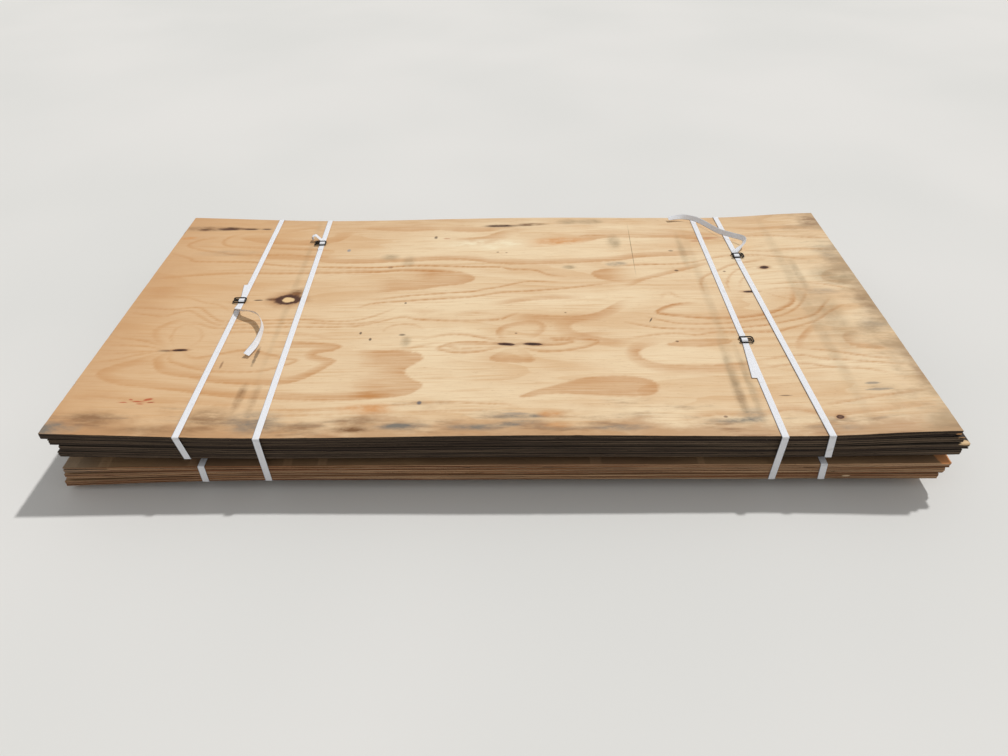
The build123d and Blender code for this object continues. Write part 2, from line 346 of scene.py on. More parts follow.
@dataclass(frozen=True)
class Latewood:
    """Where a growth ring ends on the peeled face, as a line of points in mm.

    The wood darkens over the soft distance toward the line, on its left, and ends sharply.
    """

    share: float
    soft: float
    points: tuple[tuple[float, float], ...]

    def path(self) -> np.ndarray:
        """Draw the smooth line through the points.

        Returns:
            Places in mm, about a step apart.
        """
        spots = np.array(self.points, float)
        closed = bool(np.allclose(spots[0], spots[-1]))
        before = spots[-2] if closed else 2 * spots[0] - spots[1]
        after = spots[1] if closed else 2 * spots[-1] - spots[-2]
        cuts = [max(3, int(np.linalg.norm(c - b) / DRAWING.step)) for b, c in zip(spots, spots[1:])]
        return flowing(np.vstack([before, spots, after]), cuts)

    def shade(self, places: np.ndarray) -> tuple[np.ndarray, np.ndarray]:
        """Find which places the line darkens and how much.

        Args:
            places: Places on the face in mm.

        Returns:
            The numbers of the places near the line, and their darkness from 0 to 1.
        """
        path = self.path()
        reach = self.soft + DRAWING.crisp
        inside = np.all((places > path.min(0) - reach) & (places < path.max(0) + reach), axis=1)
        near = np.flatnonzero(inside)
        way = np.gradient(path, axis=0)
        way /= np.linalg.norm(way, axis=1)[:, None] + 1e-9
        closed = bool(np.allclose(path[0], path[-1]))
        rank = np.arange(len(path))
        full = 1.0 if closed else np.clip(np.minimum(rank, rank[::-1]) / DRAWING.taper_points, 0, 1)
        taper = DRAWING.least_taper + (1 - DRAWING.least_taper) * full * np.ones(len(path))
        thin = self.soft < DRAWING.broad
        amount = np.zeros(len(near))
        for start in range(0, len(near), DRAWING.batch):
            part = near[start : start + DRAWING.batch]
            apart = places[part][:, None, :] - path
            nearest = (apart**2).sum(2).argmin(1)
            gap = apart[np.arange(len(part)), nearest]
            along = way[nearest]
            distance = np.linalg.norm(gap, axis=1)
            left = along[:, 0] * gap[:, 1] - along[:, 1] * gap[:, 0] > 0
            beyond = np.abs((along * gap).sum(1))
            inner = np.clip(1 - distance / self.soft, 0, 1) ** (1.0 if thin else DRAWING.broad_fall)
            fall = np.where(left, inner, np.clip(1 - distance / DRAWING.crisp, 0, 1))
            end = np.clip(1 - beyond / max(self.soft, DRAWING.least_end), 0, 1)
            amount[start : start + DRAWING.batch] = fall * end * taper[nearest]
        gain = DRAWING.thin_gain if thin else DRAWING.broad_gain
        return near, amount * min(1.0, self.share * gain)


# The rings of the top face, traced from the photograph
LATEWOOD = (
    # The cathedral in the far left corner
    Latewood(0.5, 16, (
        (-1090, 462), (-1150, 440), (-1178, 402), (-1130, 368), (-1000, 333), (-900, 322), (-780, 322),
        (-680, 308), (-600, 305),
    )),
    Latewood(0.45, 16, (
        (-990, 490), (-1040, 462), (-1052, 420), (-1020, 390), (-950, 380), (-800, 366), (-620, 352),
    )),
    Latewood(0.5, 45, (
        (-960, 470), (-985, 450), (-940, 428), (-890, 414), (-740, 396), (-640, 412), (-600, 432),
        (-570, 470),
    )),
    Latewood(0.3, 20, ((-850, 480), (-800, 500), (-740, 520), (-690, 500), (-700, 470))),
    # The long lines across the far half
    Latewood(0.6, 12, (
        (-1225, 345), (-1140, 305), (-1110, 283), (-1000, 278), (-900, 274), (-800, 250), (-640, 234),
        (-450, 229), (-300, 240), (-100, 230), (0, 225), (40, 211), (90, 208), (130, 200), (165, 175),
        (225, 158),
    )),
    Latewood(0.5, 34, (
        (-900, 302), (-700, 285), (-600, 266), (-500, 262), (-300, 274), (-200, 280), (-100, 275),
        (0, 251), (200, 249), (300, 257), (420, 268), (520, 290), (720, 302),
    )),
    Latewood(0.55, 18, (
        (-1225, 165), (-1100, 182), (-1020, 192), (-900, 198), (-700, 194), (-450, 198), (-340, 208),
        (-160, 200),
    )),
    Latewood(0.3, 10, ((-1040, 215), (-900, 222), (-760, 216), (-600, 216), (-430, 212))),
    Latewood(0.5, 90, (
        (-420, 68), (-330, 84), (-270, 90), (-200, 108), (-120, 124), (-88, 156), (-120, 188),
        (-160, 200), (-300, 207),
    )),
    Latewood(0.5, 70, ((-1080, 98), (-1130, 112), (-1225, 113))),
    Latewood(0.35, 10, ((-1110, 54), (-1040, 42), (-990, 18), (-930, 0), (-880, -40))),
    Latewood(0.5, 10, (
        (-420, 25), (-300, 48), (-200, 60), (-100, 70), (-50, 85), (0, 98), (80, 128), (130, 131),
        (200, 126),
    )),
    Latewood(0.5, 12, (
        (-460, -20), (-420, 2), (-330, 15), (-200, 28), (-100, 38), (0, 62), (80, 70), (200, 83),
        (300, 101), (375, 116),
    )),
    Latewood(0.45, 26, ((-20, -12), (60, 8), (150, 22), (270, 26))),
    Latewood(0.5, 50, ((430, 214), (350, 205), (322, 182), (335, 155), (360, 140), (430, 120))),
    Latewood(0.45, 12, (
        (400, 225), (500, 235), (600, 238), (680, 247), (800, 288), (880, 296), (960, 290), (1100, 262),
    )),
    Latewood(0.5, 22, ((430, 90), (500, 138), (560, 163), (620, 188), (680, 213), (740, 240))),
    Latewood(0.4, 70, ((300, 400), (400, 434), (500, 430), (640, 430), (720, 415), (840, 402))),
    Latewood(0.45, 60, ((30, 500), (5, 492), (-30, 470), (-60, 450), (-100, 440), (-180, 434))),
    Latewood(0.4, 50, ((-230, 505), (-150, 488), (-100, 485), (-50, 490), (20, 506))),
    Latewood(0.35, 60, ((-560, 520), (-420, 500), (-300, 498), (-230, 505))),
    Latewood(0.45, 10, ((300, 445), (330, 452), (380, 447), (430, 440))),
    # The rings over and under the knot on the left
    Latewood(0.5, 10, (
        (-1225, -10), (-1150, -15), (-1090, -22), (-1040, -17), (-992, -14), (-960, -40), (-920, -76),
        (-870, -92), (-640, -86), (-560, -95), (-480, -95), (-420, -78), (-345, -30),
    )),
    Latewood(0.5, 10, (
        (-1225, -35), (-1100, -62), (-1060, -46), (-1020, -32), (-990, -50), (-920, -101), (-870, -112),
        (-640, -104), (-500, -112), (-420, -104), (-370, -80),
    )),
    Latewood(0.5, 12, (
        (-1010, -95), (-960, -105), (-925, -122), (-870, -130), (-700, -126), (-500, -127), (-420, -115),
        (-330, -80), (-300, -76), (-275, -86), (-200, -95), (-100, -97), (0, -92), (30, -76), (62, -56),
    )),
    Latewood(0.5, 20, (
        (-1010, -72), (-1060, -92), (-1092, -132), (-1084, -168), (-1062, -195), (-1030, -222),
    )),
    Latewood(0.4, 10, ((-998, -100), (-1028, -130), (-1026, -178), (-1005, -215))),
    Latewood(0.3, 10, ((-945, -225), (-925, -190), (-930, -160), (-950, -130), (-998, -108))),
    Latewood(0.5, 10, ((-1225, -165), (-1180, -178), (-1100, -195), (-1030, -226))),
    Latewood(0.55, 8, ((-1225, -212), (-1100, -220), (-1020, -238))),
    Latewood(0.5, 8, ((-1225, -262), (-1100, -250), (-1020, -242))),
    Latewood(0.5, 10, ((-1225, -300), (-1150, -287), (-1100, -266), (-1030, -246))),
    Latewood(0.55, 34, (
        (-1040, -258), (-1100, -290), (-1155, -318), (-1180, -350), (-1145, -380), (-1085, -402),
        (-1000, -415), (-900, -432), (-750, -458), (-600, -468), (-450, -474), (-300, -462),
    )),
    Latewood(0.6, 30, (
        (-1005, -245), (-1034, -280), (-1024, -312), (-1000, -342), (-960, -358), (-900, -372),
        (-800, -396), (-700, -404), (-620, -402), (-570, -384), (-530, -352), (-488, -302), (-503, -286),
        (-555, -265), (-498, -246), (-482, -226), (-520, -213), (-600, -204), (-680, -203),
    )),
    Latewood(0.45, 14, (
        (-1000, -252), (-990, -290), (-950, -312), (-870, -340), (-800, -348), (-720, -348), (-660, -333),
        (-600, -296), (-640, -280), (-690, -262), (-760, -240), (-820, -250), (-880, -270), (-920, -275),
        (-955, -250),
    )),
    Latewood(0.3, 18, ((-900, -165), (-800, -150), (-700, -160), (-600, -170), (-520, -190))),
    # The middle
    Latewood(0.35, 20, ((-310, -42), (-250, -48), (-180, -45))),
    Latewood(0.35, 20, ((-130, -66), (-80, -58), (-20, -62))),
    Latewood(0.4, 8, ((-236, -140), (-262, -118), (-310, -112), (-352, -128), (-362, -150))),
    Latewood(0.45, 14, ((-230, -192), (-160, -172), (-100, -174), (-50, -190), (10, -206))),
    Latewood(0.35, 14, ((-420, -262), (-300, -250), (-240, -230), (-180, -212))),
    Latewood(0.5, 16, (
        (20, -212), (-100, -206), (-165, -220), (-184, -243), (-130, -262), (-60, -258), (15, -236),
    )),
    Latewood(0.35, 12, ((0, -222), (-100, -216), (-152, -230), (-110, -242), (0, -234))),
    Latewood(0.45, 14, (
        (80, -238), (120, -258), (200, -256), (285, -232), (305, -205), (225, -190), (120, -192),
    )),
    Latewood(0.4, 16, ((100, -230), (180, -226), (232, -210), (200, -200), (120, -206))),
    Latewood(0.45, 22, (
        (110, -190), (143, -150), (142, -116), (110, -99), (60, -106), (12, -126), (-6, -160), (10, -205),
    )),
    Latewood(0.4, 40, (
        (20, -250), (-22, -285), (-8, -303), (40, -308), (100, -306), (104, -285), (80, -250),
    )),
    Latewood(0.5, 140, (
        (-420, -468), (-290, -458), (-240, -442), (-215, -408), (-255, -378), (-275, -345), (-245, -312),
        (-226, -284), (-262, -256), (-420, -246),
    )),
    Latewood(0.45, 40, ((400, 10), (370, -15), (330, -48), (290, -66), (230, -78), (160, -71), (60, -60))),
    Latewood(0.35, 50, ((330, -150), (260, -165), (225, -140), (240, -110), (300, -90))),
    Latewood(0.5, 60, (
        (70, -462), (150, -450), (250, -452), (350, -462), (430, -455), (455, -425), (440, -395),
        (380, -377), (300, -376), (240, -386), (180, -410), (100, -440), (70, -462),
    )),
    Latewood(0.5, 40, (
        (760, -308), (700, -318), (600, -330), (490, -322), (440, -302), (422, -278), (432, -250),
        (480, -228),
    )),
    Latewood(0.35, 40, ((400, -205), (350, -200), (300, -185), (250, -165))),
    # The rings on the right
    Latewood(0.55, 18, (
        (640, -2), (580, -8), (535, -28), (508, -52), (522, -68), (600, -85), (700, -95), (780, -90),
        (860, -72), (930, -35), (965, 0), (985, 60),
    )),
    Latewood(0.45, 9, (
        (470, -80), (540, -112), (600, -122), (700, -121), (800, -106), (900, -80), (960, -40),
        (1000, 10), (1030, 70),
    )),
    Latewood(0.5, 10, (
        (400, -112), (500, -142), (600, -150), (700, -148), (800, -138), (880, -121), (1000, -80),
        (1050, -30), (1090, 20),
    )),
    Latewood(0.45, 10, (
        (400, -195), (500, -176), (560, -172), (612, -181), (650, -172), (700, -166), (850, -166),
        (900, -152), (1000, -110), (1060, -62), (1120, -20),
    )),
    Latewood(0.4, 30, (
        (518, -230), (620, -237), (700, -222), (705, -203), (620, -203), (550, -209), (518, -230),
    )),
    Latewood(0.5, 20, ((985, -125), (945, -168), (912, -210), (898, -248))),
    Latewood(0.4, 12, ((905, -250), (1000, -266), (1060, -281), (1110, -296), (1200, -304))),
    Latewood(0.45, 10, (
        (760, -308), (820, -296), (880, -286), (920, -286), (960, -301), (1060, -311), (1200, -330),
    )),
    Latewood(0.4, 12, ((765, -343), (870, -326), (920, -326), (960, -339), (1060, -347), (1140, -372))),
    Latewood(0.4, 12, ((880, -505), (960, -489), (1060, -466), (1200, -440))),
    Latewood(0.4, 30, ((1110, -162), (1065, -178), (1058, -215), (1080, -243), (1200, -262))),
    Latewood(0.45, 14, ((690, 60), (688, 110), (705, 150), (760, 190), (805, 222), (850, 240), (940, 262))),
    Latewood(0.4, 10, ((772, 70), (775, 110), (795, 155), (830, 195), (900, 220))),
    Latewood(0.35, 8, ((812, 80), (822, 120), (850, 155), (900, 172))),
    Latewood(0.35, 6, ((885, 55), (930, 25), (1000, 5))),
    Latewood(0.35, 8, ((890, 66), (960, 80), (1060, 60))),
    Latewood(0.35, 12, ((900, 100), (1000, 112), (1100, 100), (1200, 60))),
    Latewood(0.35, 40, ((1220, 205), (1140, 190), (1105, 150), (1120, 120), (1220, 95))),
    Latewood(0.4, 14, ((540, 25), (550, 48), (572, 52), (590, 30), (620, 18))),
    Latewood(0.3, 30, ((880, 500), (960, 486), (1060, 492), (1220, 478))),
    Latewood(0.4, 16, ((900, 432), (1000, 438), (1080, 428), (1220, 415))),
    Latewood(0.3, 14, ((870, 330), (960, 322), (1080, 336), (1220, 330))),
    # The near edge
    Latewood(0.35, 24, ((-1225, -455), (-1100, -458), (-1000, -478), (-870, -482), (-700, -500))),
    Latewood(0.35, 12, (
        (-640, -515), (-500, -515), (-380, -505), (-280, -495), (-160, -485), (0, -492), (60, -505),
    )),
    Latewood(0.3, 10, ((-640, -540), (-300, -525), (-100, -520), (0, -515))),
    Latewood(0.35, 24, (
        (500, -560), (600, -540), (700, -548), (800, -520), (900, -545), (1000, -530), (1200, -500),
    )),
)

def ring_shade(places: np.ndarray) -> np.ndarray:
    """Work out the latewood's darkness on the top face.

    Args:
        places: Places on the face in mm.

    Returns:
        The darkness at each place, from 0 to 1.
    """
    clear = np.ones(len(places))
    for line in LATEWOOD:
        near, amount = line.shade(places)
        clear[near] *= 1 - amount
    return 1 - clear


@dataclass(frozen=True)
class Knot:
    """A knot: a ring of dark bark or resin round a heart of its own tone. Half sizes are in mm."""

    x: float
    y: float
    length: float
    width: float
    heart: str
    turn: float = 0.0


KNOTS = (
    Knot(-707, 30, 39, 27, "e6c391", 6),
    Knot(-974, -241, 19, 5, "26140c", 4),
    Knot(27, -221, 24, 6, "33190f", -6),
    Knot(106, -221, 27, 6, "2c1a0e", -3),
    Knot(927, 212, 14, 8, "33190f"),
    Knot(838, 59, 20, 5, "3a2013"),
    Knot(921, -549, 9, 6, "6b4a34"),
)


class Tone(Enum):
    """What marks the face, with its sRGB colour."""

    PITCH = "42261b"
    BROWN = "7d5836"
    DIRT = "8a7759"
    GREY = "7c7469"
    WARM = "cf8a48"
    PALE = "f3e2bf"


@dataclass(frozen=True)
class Stain:
    """A soft patch on the face: what it is, its place and half sizes in mm and its turn in degrees."""

    tone: Tone
    x: float
    y: float
    length: float
    width: float
    share: float
    turn: float = 0.0

    def cover(self, places: np.ndarray) -> np.ndarray:
        """Work out how much the patch covers.

        Args:
            places: Places on the face in mm.

        Returns:
            The cover at each place, from 0 to the patch's share.
        """
        turn = math.radians(self.turn)
        apart = places - (self.x, self.y)
        along = (apart[:, 0] * math.cos(turn) + apart[:, 1] * math.sin(turn)) / self.length
        across = (apart[:, 1] * math.cos(turn) - apart[:, 0] * math.sin(turn)) / self.width
        return np.clip(STAIN_REACH - np.hypot(along, across), 0, 1) * self.share


# Dirt, weather and mended places of the top face, traced one by one
STAINS = (
    Stain(Tone.BROWN, -1140, 529, 92, 16, 0.65),
    Stain(Tone.PITCH, -1150, 523, 22, 7, 0.7),
    Stain(Tone.PITCH, -1060, 526, 46, 10, 0.9),
    Stain(Tone.PITCH, -975, 523, 32, 7, 0.8),
    Stain(Tone.PITCH, -910, 522, 18, 6, 0.8),
    Stain(Tone.PITCH, -2, 532, 50, 9, 0.85),
    Stain(Tone.PITCH, 100, 540, 36, 9, 0.6, 4),
    Stain(Tone.BROWN, 118, 540, 48, 8, 0.85, 4),
    Stain(Tone.DIRT, 262, 560, 36, 15, 0.5),
    Stain(Tone.DIRT, 345, 560, 38, 16, 0.5),
    Stain(Tone.BROWN, 1190, 552, 34, 30, 0.75),
    Stain(Tone.PALE, -38, 395, 130, 26, 0.85),
    Stain(Tone.PALE, -48, 357, 30, 13, 0.7),
    Stain(Tone.WARM, 205, 408, 98, 23, 0.62, 6),
    Stain(Tone.WARM, -1195, 455, 24, 8, 0.6, 8),
    Stain(Tone.WARM, -360, -508, 62, 18, 0.55),
    Stain(Tone.WARM, 148, -531, 28, 11, 0.65),
    Stain(Tone.WARM, 170, -575, 32, 8, 0.5),
    Stain(Tone.DIRT, -702, 130, 9, 420, 0.2, 1),
    Stain(Tone.BROWN, -725, -460, 10, 46, 0.55),
    Stain(Tone.BROWN, -682, -470, 9, 50, 0.36),
    Stain(Tone.DIRT, 675, -390, 10, 145, 0.42),
    Stain(Tone.BROWN, 675, -460, 11, 62, 0.45),
    Stain(Tone.DIRT, 715, -400, 9, 135, 0.42),
    Stain(Tone.DIRT, 662, 330, 12, 92, 0.34),
    Stain(Tone.DIRT, 690, 40, 12, 330, 0.18),
    Stain(Tone.DIRT, 1000, 0, 17, 430, 0.25),
    Stain(Tone.DIRT, 1032, 162, 12, 92, 0.38),
    Stain(Tone.DIRT, 1060, -90, 35, 130, 0.3),
    Stain(Tone.GREY, 413, 243, 28, 12, 0.7),
    Stain(Tone.DIRT, 420, 400, 20, 42, 0.45),
    Stain(Tone.DIRT, 244, 224, 18, 10, 0.6),
    Stain(Tone.DIRT, -400, 300, 26, 18, 0.45),
    Stain(Tone.DIRT, -330, 270, 18, 30, 0.35),
    Stain(Tone.DIRT, -285, -205, 13, 24, 0.4),
    Stain(Tone.GREY, 690, -540, 30, 22, 0.5),
    Stain(Tone.GREY, 640, -562, 56, 9, 0.8),
    Stain(Tone.DIRT, 1150, 160, 60, 46, 0.45),
    Stain(Tone.GREY, 1185, 330, 36, 60, 0.3),
    Stain(Tone.BROWN, 1205, 20, 26, 70, 0.35),
    Stain(Tone.GREY, 1180, -130, 40, 26, 0.3),
    Stain(Tone.BROWN, 1215, -330, 18, 70, 0.35),
    Stain(Tone.GREY, 1080, 60, 50, 14, 0.3),
    Stain(Tone.GREY, -255, -578, 56, 11, 0.95),
    Stain(Tone.BROWN, -390, -590, 44, 9, 0.9),
    Stain(Tone.GREY, 52, -568, 58, 9, 0.9, 4),
    Stain(Tone.GREY, -60, -583, 66, 10, 0.7),
    Stain(Tone.BROWN, -375, -558, 48, 18, 0.45),
    Stain(Tone.BROWN, -1100, -542, 62, 26, 0.5),
    Stain(Tone.BROWN, -790, -545, 52, 34, 0.5),
    Stain(Tone.GREY, -1200, -580, 56, 22, 0.8),
    Stain(Tone.GREY, -655, -562, 60, 34, 0.65),
    Stain(Tone.GREY, 60, -540, 80, 7, 0.7),
    Stain(Tone.GREY, 330, -585, 60, 9, 0.7),
    Stain(Tone.BROWN, -560, -583, 90, 14, 0.42),
    Stain(Tone.BROWN, -900, -588, 120, 14, 0.35),
    Stain(Tone.GREY, 900, -590, 60, 10, 0.4),
    Stain(Tone.GREY, -1000, 340, 90, 16, 0.2),
    Stain(Tone.PITCH, -757, 33, 20, 8, 0.8),
    Stain(Tone.PITCH, -1012, -243, 22, 4, 0.6),
    Stain(Tone.PITCH, -696, 62, 22, 16, 0.97, 35),
    Stain(Tone.BROWN, -690, 72, 16, 28, 0.6, -30),
)


@dataclass(frozen=True)
class Pit:
    """A small mark on the face: its place and half sizes in mm, and how ragged it is."""

    x: float
    y: float
    length: float
    width: float
    color: str
    share: float
    turn: float = 0.0
    ragged: float = 0.5
# Pitch streaks, pits, resin drops and the crack, traced one by one
PITS = (
    Pit(-1152, 522, 22, 4, "4a2c20", 0.75, 0, 0.6),
    Pit(-1060, 524, 44, 7, "4a2c20", 0.9, 0, 0.7),
    Pit(-1055, 535, 17, 5, "3f2419", 0.85, 0, 0.7),
    Pit(-975, 522, 32, 5, "4a2c20", 0.85, 0, 0.8),
    Pit(-910, 521, 17, 4, "4a2c20", 0.8, 0, 0.7),
    Pit(-2, 531, 50, 6, "3f2419", 0.9, 0, 0.7),
    Pit(-205, 436, 17, 6, "b0603a", 0.55, 0, 0.8),
    Pit(720, 402, 24, 7, "b0603a", 0.5, 0, 0.9),
    Pit(788, 425, 30, 7, "b0603a", 0.45, 0, 0.9),
    Pit(-730, -275, 6, 50, "3a3128", 0.6, 0, 1.2),
    Pit(-822, -315, 5, 22, "7a5238", 0.6, 0, 0.7),
    Pit(-1048, -477, 17, 4, "b4502c", 0.8, 0, 1.0),
    Pit(-1008, -475, 22, 5, "b4502c", 0.85, 0, 1.1),
    Pit(-982, -466, 13, 5, "b4502c", 0.85, 20, 1.1),
    Pit(-998, -484, 15, 3, "b4502c", 0.8, 0, 1.0),
    Pit(-1030, -466, 8, 4, "b4502c", 0.7, -20, 1.0),
    Pit(-968, -478, 12, 3, "a2452a", 0.8, 8, 1.0),
    Pit(480, 350, 1.4, 200, "6d5238", 0.75, -2.5, 0.15),
    Pit(1060, -410, 22, 6, "6f6d6c", 0.6, 0, 0.8),
    Pit(1065, -437, 47, 6, "6f6d6c", 0.55, 0, 0.9),
    Pit(50, -530, 42, 6, "8a8078", 0.55, 0, 0.9),
    Pit(800, -462, 22, 3, "4a3020", 0.7, 0, 0.5),
    Pit(-245, 445, 9, 13, "5a4438", 0.8, 0, 0.5),
    Pit(-560, 353, 8, 11, "8d8f94", 0.8, 0, 0.4),
    Pit(-432, -160, 5, 8, "3f3029", 0.8, 0, 0.4),
    Pit(-397, -192, 5, 8, "3a2c26", 0.8, 0, 0.4),
    Pit(-300, -170, 14, 7, "4a3a30", 0.7, 0, 0.5),
    Pit(-215, -485, 8, 9, "5d5f66", 0.85, 0, 0.3),
    Pit(55, -165, 5, 4, "6f4a30", 0.7, 0, 0.4),
    Pit(215, -55, 5, 4, "6f4a30", 0.7, 0, 0.4),
    Pit(547, -212, 6, 5, "5a3a28", 0.75, 0, 0.4),
    Pit(617, -546, 7, 5, "6a4632", 0.7, 0, 0.4),
    Pit(617, 196, 8, 6, "4f3a2c", 0.8, 0, 0.5),
    Pit(620, 332, 10, 6, "5a4a3c", 0.6, 0, 0.6),
    Pit(782, 188, 6, 5, "6a4632", 0.7, 0, 0.4),
    Pit(-10, 332, 6, 4, "7a4c34", 0.7, 0, 0.4),
    Pit(22, 328, 5, 4, "7a4c34", 0.6, 0, 0.4),
    Pit(-310, 6, 5, 5, "4a3428", 0.8, 0, 0.4),
    Pit(-390, 232, 11, 9, "8a5a38", 0.6, 0, 0.5),
    Pit(-805, 29, 18, 4, "3a2416", 0.85, 4, 0.5),
    Pit(484, -98, 3, 15, "2b2420", 0.85, -25, 0.4),
)


@dataclass(frozen=True)
class Patch:
    """A place of another colour, such as newly bared wood at a chip and a painted patch of sunlight: its
    place and half sizes in mm.
    """

    place: tuple[float, float, float]
    size: tuple[float, float, float]
    color: str
    share: float = 0.9
    firm: float = 0.75


@dataclass(frozen=True)
class RotaryPine:
    """Rotary-cut southern pine veneer: pale earlywood and honey latewood, run along X.

    Peeling cuts the growth rings nearly flat, so their contours show as wide wandering bands.
    The dry face is matt, with fibres raised by the weather.
    """

    name: str
    pale: str = "f0d8b2"
    honey: str = "d5ab7c"
    late: str = "a47850"
    aged: str = "b98d5e"
    patches: tuple[Patch, ...] = ()

    def wood(self, shader: Shader) -> tuple[Socket, Socket]:
        """Paint the bare wood.

        Args:
            shader: The material's nodes.

        Returns:
            The colour, and the height for the bump.
        """
        # Rings about 70 mm apart across the grain, which wander over a metre and ripple
        slow = shader.grain((0.9, 4.2, 1.0), 2.0, 0.45)
        ripple = shader.grain((4.0, 24.0, 1.0), 2.0, 0.5)
        y = shader.node("SeparateXYZ", {0: shader.place}, out=1)
        rings = shader.total((y, 15.0), (slow, 9.0), (ripple, 0.7))
        phase = shader.node("Math", {0: rings}, operation="FRACT")
        # Broad fields of tone, fine streaks of 8 mm, fibres of 1.25 mm and specks of 3 mm
        broad = shader.grain((1.6, 6.0, 1.0), 3.0, 0.55)
        fine = shader.grain((5.0, 120.0, 1.0), 3.0, 0.6)
        fibre = shader.grain((14.0, 800.0, 1.0), 3.0, 0.6)
        speck = shader.grain((40.0, 300.0, 1.0), 4.0, 0.7)
        band = ((phase, 0.15, 0.95), (phase, 0.95, 1.0, 1.0, 0.0), (broad, 0.42, 0.66, 0.03, 0.5))
        color = shader.lay(self.pale, self.honey, (broad, 0.35, 0.68, 0.0, 0.42))
        color = shader.lay(color, self.honey, *band)
        color = shader.lay(color, self.honey, (fine, 0.5, 0.7, 0.0, 0.5))
        color = shader.lay(color, self.late, (fibre, 0.42, 0.75, 0.0, 0.22))
        color = shader.lay(color, self.late, (speck, 0.58, 0.72, 0.0, 0.35))
        return color, shader.total((fibre, 0.6), (fine, 0.4))

    def build(self) -> bpy.types.Material:
        """Make the material of a plain veneer, without the top face's own marks.

        Returns:
            The material.
        """
        shader = Shader(self.name)
        color, height = self.wood(shader)
        grey = shader.grain((3.0, 5.0, 3.0), 4.0, 0.6)
        color = shader.lay(color, self.aged, (grey, 0.35, 0.75, 0.1, 0.7))
        color = shader.patched(color, self.patches)
        return shader.finish(color, 0.78, height, 0.6, Specular_IOR_Level=0.25)


